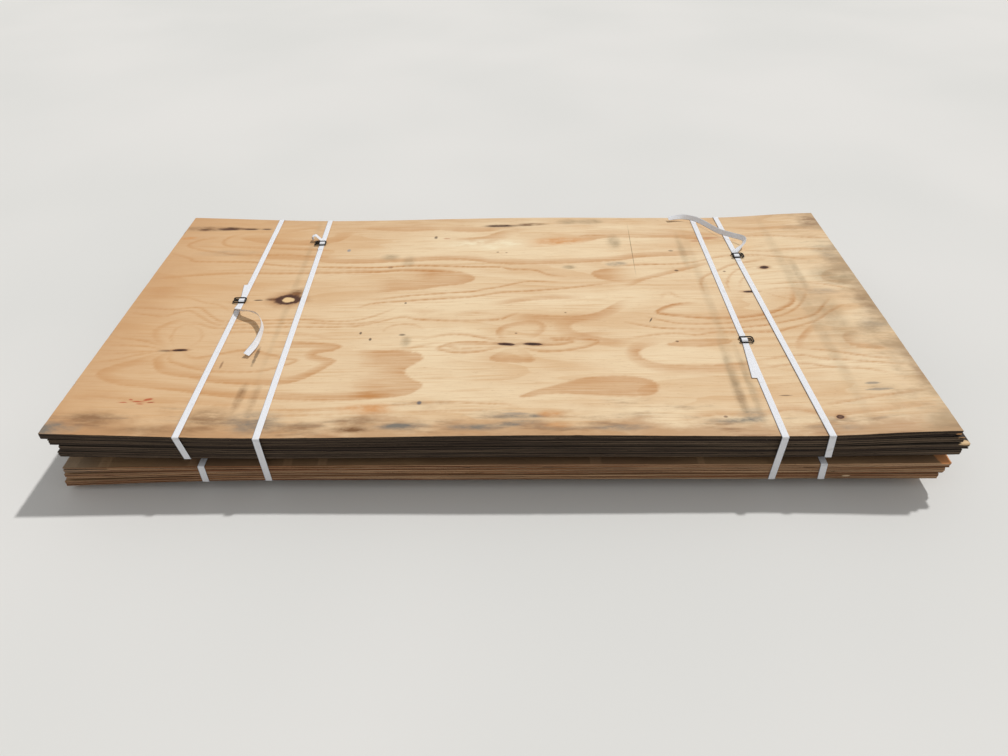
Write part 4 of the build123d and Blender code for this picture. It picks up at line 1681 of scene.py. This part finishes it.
ARCH_B = ((7, 0), (-9, 0), (-26, 21), (-42, 16), (-37, 3))


@dataclass(frozen=True)
class Loop:
    """A strap's way round its sheets in mm, and its buckle, as the solid has them.

    The drifts are of its far top, near bottom and far bottom corners along X, and its second
    layer reaches from the back's place to the front's, in the buckle's frame.
    """

    name: str
    bottom: SheetLooks
    top: SheetLooks
    edges: tuple[float, float]
    x: float
    drifts: tuple[float, float, float]
    buckle_y: float
    buckle_shift: float
    back: tuple[float, float]
    front: tuple[float, float]
    loose_end: Curl | tuple[tuple[float, float], ...] | None = None


def rounded(points: list, radii: list[float], closed: bool = False, steps: int = 6) -> np.ndarray:
    """Round a line's corners.

    Args:
        points: The line's corners.
        radii: The radius at each corner, or at each but the first and last of an open line.
        closed: Whether the line closes on its first point.
        steps: The spans in each bend.

    Returns:
        The points of the rounded line.
    """
    spots = [np.array(point, float) for point in points]
    result = [] if closed else [spots[0]]
    corners = range(len(spots)) if closed else range(1, len(spots) - 1)
    for corner, radius in zip(corners, radii):
        spot = spots[corner]
        back = spots[corner - 1] - spot
        ahead = spots[(corner + 1) % len(spots)] - spot
        back, ahead = back / np.linalg.norm(back), ahead / np.linalg.norm(ahead)
        if back @ ahead < STRAIGHT:
            result.append(spot)
            continue
        half = math.acos(float(np.clip(back @ ahead, -1, 1))) / 2
        middle = spot + (back + ahead) / np.linalg.norm(back + ahead) * radius / math.sin(half)
        start = spot + back * radius / math.tan(half) - middle
        end = spot + ahead * radius / math.tan(half) - middle
        turn = math.pi - 2 * half
        for share in np.linspace(0, 1, steps + 1):
            arc = math.sin((1 - share) * turn) * start + math.sin(share * turn) * end
            result.append(middle + arc / math.sin(turn))
    if not closed:
        result.append(spots[-1])
    return np.array(result)


def spaced(line: np.ndarray, step: float, closed: bool = False) -> np.ndarray:
    """Cut a line's long spans.

    Args:
        line: The line's points.
        step: The span that the new ones are close to.
        closed: Whether the line closes on its first point.

    Returns:
        The line's points and those between.
    """
    spots = [line[0]]
    for start, end in zip(line, np.vstack([line[1:], line[:1]]) if closed else line[1:]):
        cuts = max(1, int(np.linalg.norm(end - start) / step))
        spots += [start + (end - start) * share for share in np.linspace(0, 1, cuts + 1)[1:]]
    return np.array(spots[:-1] if closed else spots)


class Webbing:
    """Woven strap ribbons, gathered in one mesh.

    The section is a flat band with rounded selvedges: places across as shares of half its
    width, and heights as shares of half its thickness.
    """

    SHARES = (-1.0, -0.96, -0.75, -0.5, -0.25, 0.0, 0.25, 0.5, 0.75, 0.96, 1.0)
    HEIGHTS = (0.1, 0.8, 1.0, 1.0, 1.0, 1.0, 1.0, 1.0, 1.0, 0.8, 0.1)
    SHARP = 50.0

    def __init__(self, name: str) -> None:
        """Start with no ribbon.

        Args:
            name: The object's name.
        """
        self.name = name
        self.verts: list[tuple[float, ...]] = []
        self.faces: list[tuple[int, ...]] = []
        self.along: list[float] = []
        self.across: list[float] = []

    def ribbon(self, middles: np.ndarray, widths: np.ndarray, closed: bool = False) -> None:
        """Add one ribbon.

        Args:
            middles: The places of its middle in mm.
            widths: The way its width points at each.
            closed: Whether it closes on itself.
        """
        if closed:
            ways = np.roll(middles, -1, 0) - np.roll(middles, 1, 0)
        else:
            ways = np.gradient(middles, axis=0)
        ways = ways / np.linalg.norm(ways, axis=1)[:, None]
        widths = widths - ways * (widths * ways).sum(1)[:, None]
        widths = widths / np.linalg.norm(widths, axis=1)[:, None]
        ups = np.cross(widths, ways)
        shares = self.SHARES + self.SHARES[::-1]
        heights = self.HEIGHTS + tuple(-height for height in self.HEIGHTS)
        base, ring = len(self.verts), len(shares)
        gaps = np.linalg.norm(np.diff(middles, axis=0), axis=1)
        way = np.concatenate([[0], np.cumsum(gaps)])
        for middle, width, up, distance in zip(middles, widths, ups, way):
            for share, height in zip(shares, heights):
                spot = middle + width * share * SIZES.width / 2 + up * height * SIZES.thickness / 2
                self.verts.append(tuple(spot * MM))
                self.along.append(distance * MM)
                self.across.append((share + 1) / 2)
        count = len(middles)
        for row in range(count if closed else count - 1):
            start, end = base + row * ring, base + (row + 1) % count * ring
            for k in range(ring):
                m = (k + 1) % ring
                self.faces.append((start + k, start + m, end + m, end + k))
        if not closed:
            self.faces.append(tuple(base + k for k in reversed(range(ring))))
            self.faces.append(tuple(base + (count - 1) * ring + k for k in range(ring)))

    def build(self, material: bpy.types.Material) -> bpy.types.Object:
        """Make the object.

        Args:
            material: The webbing's material.

        Returns:
            The object, which isn't in the scene yet.
        """
        mesh = bpy.data.meshes.new(self.name)
        mesh.from_pydata(self.verts, [], self.faces)
        for name, values in (("along", self.along), ("across", self.across)):
            mesh.attributes.new(name, "FLOAT", "POINT").data.foreach_set("value", values)
        mesh.polygons.foreach_set("use_smooth", [True] * len(self.faces))
        mesh.set_sharp_from_angle(angle=math.radians(self.SHARP))
        mesh.materials.append(material)
        mesh.update()
        return bpy.data.objects.new(self.name, mesh)


@dataclass(frozen=True)
class StrapLooks:
    """One strap as webbing: its closed layer, its second layer and its loose end."""

    loop: Loop

    def stand(self, sheet: SheetLooks, x: float, top: bool) -> float:
        """Find how high the strap's middle is over or under a sheet.

        Args:
            sheet: The sheet.
            x: The strap's place in mm.
            top: Whether it is over the sheet.

        Returns:
            The height in mm.
        """
        ends = np.array([x - SIZES.width / 2, x + SIZES.width / 2]) * MM
        levels = sheet.level(ends) / MM
        if top:
            return float(levels.max() + SHEET_THICKNESS / MM + SIZES.off + SIZES.slack)
        return float(levels.min() - SIZES.off)

    def corners(self) -> list[np.ndarray]:
        """Find the strap's four corners.

        Returns:
            The near top, far top, far bottom and near bottom, in mm.
        """
        loop = self.loop
        near, far = loop.edges[0] - SIZES.off, loop.edges[1] + SIZES.off
        xs = [loop.x, loop.x + loop.drifts[0], loop.x + loop.drifts[2], loop.x + loop.drifts[1]]
        spots = []
        for x, y, top in zip(xs, (near, far, far, near), (True, True, False, False)):
            spots.append(np.array([x, y, self.stand(loop.top if top else loop.bottom, x, top)]))
        return spots

    def frame(self) -> tuple[np.ndarray, np.ndarray]:
        """Find where the buckle lies.

        Returns:
            Its place in mm, and its three axes: across, along and up.
        """
        front, back = self.corners()[:2]
        along = (back - front) / np.linalg.norm(back - front)
        up = np.cross([1.0, 0.0, 0.0], along)
        up /= np.linalg.norm(up)
        spot = front + along * (self.loop.buckle_y - front[1]) / along[1]
        return spot, np.array([np.cross(along, up), along, up])

    def second_layer(self) -> tuple[np.ndarray, np.ndarray]:
        """Lay the second layer through the buckle, and the loose end on from it.

        Returns:
            Its middles in mm and the ways of its width, in the buckle's frame.
        """
        loop, flat = self.loop, SIZES.second_layer
        hump = [
            (SIZES.hump_reach + SIZES.hump_lead, flat),
            (SIZES.hump_foot, flat),
            (SIZES.hump_head, SIZES.over_prongs),
        ]
        far = [(*loop.back, flat)] + [(0, y, z) for y, z in hump]
        near = [(0, -y, z) for y, z in reversed(hump)] + [(*loop.front, flat)]
        bends = [SIZES.leaf_bend, SIZES.hump_bend, SIZES.hump_bend]
        middles = spaced(rounded(far + near, bends + bends[::-1]), SIZES.layer_step)
        widths = np.tile(SQUARE, (len(middles), 1))
        if isinstance(loop.loose_end, Curl):
            curl = loop.loose_end
            rows = np.array([
                (x, y, flat + z, *(np.array(way) / np.linalg.norm(way))) for (x, y), z, way in curl.stations
            ])
            ends = np.vstack([2 * rows[0] - rows[1], rows, 2 * rows[-1] - rows[-2]])
            line = flowing(ends, [SIZES.curl_cuts] * (len(rows) - 1))[1:]
            parts = (middles, line[:, :3]) if curl.forward else (line[::-1, :3], middles)
            sides = (widths, line[:, 3:]) if curl.forward else (line[::-1, 3:], widths)
            middles, widths = np.vstack(parts), np.vstack(sides)
        return middles, widths

    def build(self, material: bpy.types.Material) -> None:
        """Build the strap and put it in the scene.

        Args:
            material: The webbing's material.
        """
        webbing = Webbing(self.loop.name + "_woven")
        closed = spaced(rounded(self.corners(), [SIZES.bend] * 4, True), SIZES.loop_step, True)
        webbing.ribbon(closed, np.tile(SQUARE, (len(closed), 1)), True)
        spot, axes = self.frame()
        middles, widths = self.second_layer()
        webbing.ribbon(spot + middles @ axes, widths @ axes)
        if isinstance(self.loop.loose_end, tuple):
            third = 2 * SIZES.second_layer
            y = SIZES.hump_reach + SIZES.width / 2
            line = rounded([(x, y, third + z) for x, z in self.loop.loose_end], [SIZES.arch_bend] * 3)
            arch = spaced(line, SIZES.arch_step)
            webbing.ribbon(spot + arch @ axes, np.tile(LENGTHWISE, (len(arch), 1)) @ axes)
        place(webbing.build(material), "strap_webbing", self.loop.name)

    def wire(self) -> tuple[np.ndarray, list[float]]:
        """Lay out the buckle's wire.

        Returns:
            Its corners in mm, and the radius of its bend at each.
        """
        left = self.loop.buckle_shift - SIZES.half_buckle
        right = self.loop.buckle_shift + SIZES.half_buckle
        half = [
            (right - SIZES.prong_tip, SIZES.prong_spread),
            (left, SIZES.prong_spread),
            (left, SIZES.bar_spread),
            (right, SIZES.bar_spread),
        ]
        flat = half + [(x, -y) for x, y in reversed(half)]
        spot, axes = self.frame()
        corners = spot + np.array([(x, y, SIZES.wire_level) for x, y in flat]) @ axes
        turns = [0.0, SIZES.tight_turn, SIZES.tight_turn, SIZES.wide_turn]
        return corners, turns + turns[::-1]


class NodeGroup:
    """A geometry node tree from a curve to a finished mesh, with its named inputs."""

    def __init__(self, name: str, inputs: dict[str, tuple[str, float | int]]) -> None:
        """Args:
            name: The tree's name.
            inputs: Each input's socket type and default value, by its label.
        """
        self.tree = bpy.data.node_groups.new(name, "GeometryNodeTree")
        face = self.tree.interface
        face.new_socket("Geometry", in_out="INPUT", socket_type="NodeSocketGeometry")
        face.new_socket("Geometry", in_out="OUTPUT", socket_type="NodeSocketGeometry")
        face.new_socket("Material", in_out="INPUT", socket_type="NodeSocketMaterial")
        for label, (kind, value) in inputs.items():
            face.new_socket(label, in_out="INPUT", socket_type=kind).default_value = value
        self.given = add(self.tree, "NodeGroupInput").node.outputs

    def close(self, geometry: Socket) -> None:
        """Realize the instances, set the material and link the output.

        Args:
            geometry: The socket of the finished geometry.
        """
        real = add(self.tree, "GeometryNodeRealizeInstances", {0: geometry})
        inputs = {"Geometry": real, "Material": self.given["Material"]}
        add(self.tree, "NodeGroupOutput", {0: add(self.tree, "GeometryNodeSetMaterial", inputs)})

    def apply(self, source: bpy.types.Object, name: str, values: dict) -> bpy.types.Object:
        """Run the tree on an object.

        Args:
            source: The object with the curves, which is removed at the end.
            name: The result's name.
            values: The inputs' values by label.

        Returns:
            The result as a plain mesh object, which isn't in the scene yet.
        """
        bpy.context.scene.collection.objects.link(source)
        modifier = source.modifiers.new(self.tree.name, "NODES")
        modifier.node_group = self.tree
        for item in self.tree.interface.items_tree:
            if item.in_out == "INPUT" and item.name in values:
                modifier[item.identifier] = values[item.name]
        graph = bpy.context.evaluated_depsgraph_get()
        mesh = bpy.data.meshes.new_from_object(source.evaluated_get(graph))
        source.modifiers.remove(modifier)
        bpy.data.objects.remove(source)
        mesh.name = name
        return bpy.data.objects.new(name, mesh)


def polylines(name: str, lines: list[tuple[np.ndarray, list[float]]]) -> bpy.types.Object:
    """Make curves of straight spans.

    Args:
        name: The object's name.
        lines: The points of each in mm, and each point's radius in mm.

    Returns:
        The curve object.
    """
    curve = bpy.data.curves.new(name, "CURVE")
    curve.dimensions = "3D"
    for points, radii in lines:
        spline = curve.splines.new("POLY")
        spline.points.add(len(points) - 1)
        for point, spot, radius in zip(spline.points, points, radii):
            point.co = (*(spot * MM), 1.0)
            point.radius = radius * MM
    return bpy.data.objects.new(name, curve)


@dataclass(frozen=True)
class BuckleWires:
    """All the buckles, each bent from one round wire of this thickness in mm."""

    wire: float = 4.3
    bend_cuts: int = 8
    ring_cuts: int = 12

    def build(self, straps: list[StrapLooks]) -> None:
        """Bend the wires round their corners and give them a round section.

        Args:
            straps: The straps whose buckles they are.
        """
        group = NodeGroup("bent_wire", {"Wire radius": ("NodeSocketFloat", MM)})
        tree, given = group.tree, group.given
        radius = add(tree, "GeometryNodeInputRadius")
        corners = {"Curve": given["Geometry"], "Count": self.bend_cuts, "Radius": radius}
        bent = add(tree, "GeometryNodeFilletCurve", corners, mode="POLY")
        even = add(tree, "GeometryNodeSetCurveRadius", {"Curve": bent, "Radius": 1.0})
        section = {"Resolution": self.ring_cuts, "Radius": given["Wire radius"]}
        ring = add(tree, "GeometryNodeCurvePrimitiveCircle", section)
        tube = add(tree, "GeometryNodeCurveToMesh", {"Curve": even, "Profile Curve": ring, "Fill Caps": True})
        group.close(add(tree, "GeometryNodeSetShadeSmooth", {0: tube}))
        values = {"Wire radius": self.wire / 2 * MM, "Material": PhosphatedWire().build()}
        piece = group.apply(polylines("wires", [strap.wire() for strap in straps]), "buckle_wires", values)
        place(piece, "buckle_wire", "buckles")


@dataclass(frozen=True)
class Splinters:
    """Torn fibres that stand out along the sheets' sawn edges, with their sizes in mm.

    Each points along the edge and outward by a random way between the least and the most, at
    a random share of its full size.
    """

    per_metre: float = 34.0
    chance: float = 0.5
    seed: int = 11
    inset: float = 1.6
    end_inset: float = 4.0
    plies: tuple[float, ...] = (1.9, 3.1, 4.9)
    points: int = 60
    tip_radius: float = 0.05
    root_radius: float = 0.28
    length: float = 4.5
    least_way: tuple[float, float, float] = (-1.0, 0.03, -0.16)
    most_way: tuple[float, float, float] = (1.0, 0.3, 0.16)
    least_share: float = 0.25
    most_share: float = 1.5

    def lines(self, sheets: tuple[SheetLooks, ...]) -> list[tuple[np.ndarray, list[float]]]:
        """Draw the lines that the splinters stand on, at the face and at the glued seams.

        Args:
            sheets: The sheets, each with lines along its two long edges.

        Returns:
            The lines' points in mm, each with a radius of 1 mm.
        """
        result = []
        inset, end_inset = self.inset * MM, self.end_inset * MM
        for sheet in sheets:
            low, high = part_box(sheet.node)
            xs = np.linspace(low.x + end_inset, high.x - end_inset, self.points)
            for y in (low.y + inset, high.y - inset):
                for ply in self.plies:
                    z = sheet.level(xs) + SHEET_THICKNESS * ply / PLIES
                    line = np.stack([xs, np.full(len(xs), y), z], 1) / MM
                    result.append((line, [1.0] * len(xs)))
        return result

    def scatter(self, group: NodeGroup) -> Socket:
        """Set splinters on the lines, pointing outward.

        Args:
            group: The node group, with its inputs Spacing and Seed.

        Returns:
            The geometry's socket.
        """
        tree, given = group.tree, group.given
        lengths = {"Curve": given["Geometry"], "Length": given["Spacing"]}
        spread = add(tree, "GeometryNodeResampleCurve", lengths, mode="LENGTH")
        points = add(tree, "GeometryNodeCurveToPoints", {"Curve": spread}, mode="EVALUATED")
        sliver = add(tree, "GeometryNodeMeshCone", {
            "Vertices": 4,
            "Radius Top": self.tip_radius * MM,
            "Radius Bottom": self.root_radius * MM,
            "Depth": self.length * MM,
        })
        y = add(tree, "ShaderNodeSeparateXYZ", {0: add(tree, "GeometryNodeInputPosition")}, out=1)
        out = add(tree, "ShaderNodeMath", {0: y}, operation="SIGN")
        ways = {"Min": self.least_way, "Max": self.most_way, "Seed": given["Seed"]}
        way = add(tree, "FunctionNodeRandomValue", ways, data_type="FLOAT_VECTOR")
        turned = add(tree, "ShaderNodeCombineXYZ", {0: 1.0, 1: out, 2: 1.0})
        way = add(tree, "ShaderNodeVectorMath", {0: way, 1: turned}, operation="MULTIPLY")
        aim = add(tree, "FunctionNodeAlignRotationToVector", {"Vector": way}, axis="Z")
        shares = {2: self.least_share, 3: self.most_share, "Seed": given["Seed"]}
        size = add(tree, "FunctionNodeRandomValue", shares, out=1)
        chances = {"Probability": self.chance, "Seed": given["Seed"]}
        chosen = add(tree, "FunctionNodeRandomValue", chances, out=3, data_type="BOOLEAN")
        inputs = {"Points": points, "Selection": chosen, "Instance": sliver, "Rotation": aim, "Scale": size}
        return add(tree, "GeometryNodeInstanceOnPoints", inputs)

    def build(self, name: str, sheets: tuple[SheetLooks, ...], slot: str, color: str) -> None:
        """Scatter the splinters over the edges of one bundle.

        Args:
            name: The piece's name.
            sheets: The bundle's sheets.
            slot: The record's material slot.
            color: The fibres' colour.
        """
        inputs = {"Spacing": ("NodeSocketFloat", 1.0), "Seed": ("NodeSocketInt", 0)}
        group = NodeGroup(name + "_scatter", inputs)
        group.close(self.scatter(group))
        material = TornFibre(name + "_fibre", color).build()
        values = {"Spacing": 1.0 / self.per_metre, "Seed": self.seed, "Material": material}
        place(group.apply(polylines(name + "_lines", self.lines(sheets)), name, values), slot)


@dataclass
class Strapping:
    """The six straps and their buckles."""

    stack: SheetStack

    def loops(self) -> list[Loop]:
        """List the six straps' ways, as the solids have them.

        Returns:
            The loops, with the near and far Y in mm of the sheets that each goes round.
        """
        low, high = self.stack.lower, self.stack.upper
        upper, lower, both = (-611.0, 610.0), (-613.5, 606.5), (-613.5, 610.0)
        first, top, under = low[0], high[-1], high[0]
        return [
            Loop("strap_a", under, top, upper, -854, (-20, 10, -17), 34, -7, (-11, 98), (-3, -39), CURL_A),
            Loop("strap_b", first, top, both, -639, (-43, -1, -45), 424, -7, (0, 38), (-2, -44), ARCH_B),
            Loop("strap_c", first, top, both, 760, (-10, -1, -10), -194, 7, (1, 36), (-15, -180)),
            Loop("strap_d", under, top, upper, 884, (-39, 8, -34), 309, 5, (0, 24), (0, -34), CURL_D),
            Loop("strap_e", first, low[-1], lower, -816, (-8, -3, -8), 0, 3, (2, 70), (0, -60)),
            Loop("strap_f", first, low[-1], lower, 889, (-4, 6, -9), 0, -3, (-2, 66), (0, -64)),
        ]

    def build(self) -> None:
        """Build the straps and their buckles."""
        webbing = CordStrap().build()
        straps = [StrapLooks(loop) for loop in self.loops()]
        for strap in straps:
            strap.build(webbing)
        BuckleWires().build(straps)


@dataclass
class Studio:
    """The floor, the soft light and the camera. Its angles are in degrees, its lengths in metres."""

    floor_size: float = 40.0
    backdrop: str = "e6e5e2"
    sky: float = 0.45
    sun: float = 2.1
    sun_way: tuple[float, float, float] = (0.45, 0.42, 0.9)
    sun_spread: float = 2.5
    pitch: float = 40.274
    yaw: float = -1.231
    roll: float = -1.107
    focal_share: float = 698.375 / 1008.0
    sensor_mm: float = 36.0

    def camera(self) -> None:
        """Set the camera where the photograph was taken from."""
        pitch, yaw, roll = (math.radians(angle) for angle in (self.pitch, self.yaw, self.roll))
        ahead = Vector((math.sin(yaw) * math.cos(pitch), math.cos(yaw) * math.cos(pitch), -math.sin(pitch)))
        right = Vector((math.cos(yaw), -math.sin(yaw), 0.0))
        up = right.cross(ahead)
        tilted_right = math.cos(roll) * right + math.sin(roll) * up
        tilted_up = math.cos(roll) * up - math.sin(roll) * right
        data = bpy.data.cameras.new("camera")
        data.sensor_width = self.sensor_mm
        data.lens = self.focal_share * self.sensor_mm
        camera = bpy.data.objects.new("camera", data)
        turn = Matrix((tilted_right, tilted_up, -ahead)).transposed().to_4x4()
        camera.matrix_world = Matrix.Translation(EYE) @ turn
        bpy.context.scene.collection.objects.link(camera)
        bpy.context.scene.camera = camera

    def floor(self) -> None:
        """Lay the floor."""
        half = self.floor_size / 2
        mesh = bpy.data.meshes.new("floor")
        corners = [(-half, -half, 0.0), (half, -half, 0.0), (half, half, 0.0), (-half, half, 0.0)]
        mesh.from_pydata(corners, [], [(0, 1, 2, 3)])
        mesh.materials.append(PaleFloor().build())
        floor = bpy.data.objects.new("floor", mesh)
        bpy.context.scene.collection.objects.link(floor)

    def light(self) -> None:
        """Light the scene from a plain sky and one sun, and show a pale backdrop behind it."""
        world = bpy.data.worlds.new("sky")
        world.use_nodes = True
        tree = world.node_tree
        seen = path = add(tree, "ShaderNodeLightPath", out="Is Camera Ray")
        for ray in ("Is Glossy Ray", "Is Transmission Ray"):
            seen = add(tree, "ShaderNodeMath", {0: seen, 1: path.node.outputs[ray]}, operation="MAXIMUM")
        colors = {0: seen, 6: (self.sky, self.sky, self.sky, 1.0), 7: linear(self.backdrop)}
        shown = add(tree, "ShaderNodeMix", colors, out=2, data_type="RGBA")
        tree.links.new(shown, tree.nodes["Background"].inputs["Color"])
        bpy.context.scene.world = world
        data = bpy.data.lights.new("key", "SUN")
        data.energy = self.sun
        data.angle = math.radians(self.sun_spread)
        lamp = bpy.data.objects.new("key", data)
        lamp.rotation_euler = (-Vector(self.sun_way)).to_track_quat("-Z", "Y").to_euler()
        bpy.context.scene.collection.objects.link(lamp)

    def build(self) -> None:
        """Set up the whole studio."""
        bpy.context.scene.view_settings.view_transform = "Standard"
        self.camera()
        self.floor()
        self.light()


def dress_lumber() -> None:
    """Give the boards, which stay as the solids, their material."""
    lumber = RoughLumber().build()
    for name in ("bearers", "spacers"):
        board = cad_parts[name]
        board.data.materials.clear()
        board.data.materials.append(lumber)
        LOG.info("%s: dressed", name)


def main() -> None:
    """Build every part of the scene in order."""
    logging.basicConfig(level=logging.INFO)
    Studio().build()
    stack = SheetStack()
    stack.dress_lower()
    stack.dress_upper()
    dress_lumber()
    Strapping(stack).build()
    Splinters().build("upper_splinters", stack.upper, "upper_plywood", "7a6852")
    Splinters(seed=23).build("lower_splinters", stack.lower, "lower_plywood", "a07850")


if __name__ == "__main__":
    main()
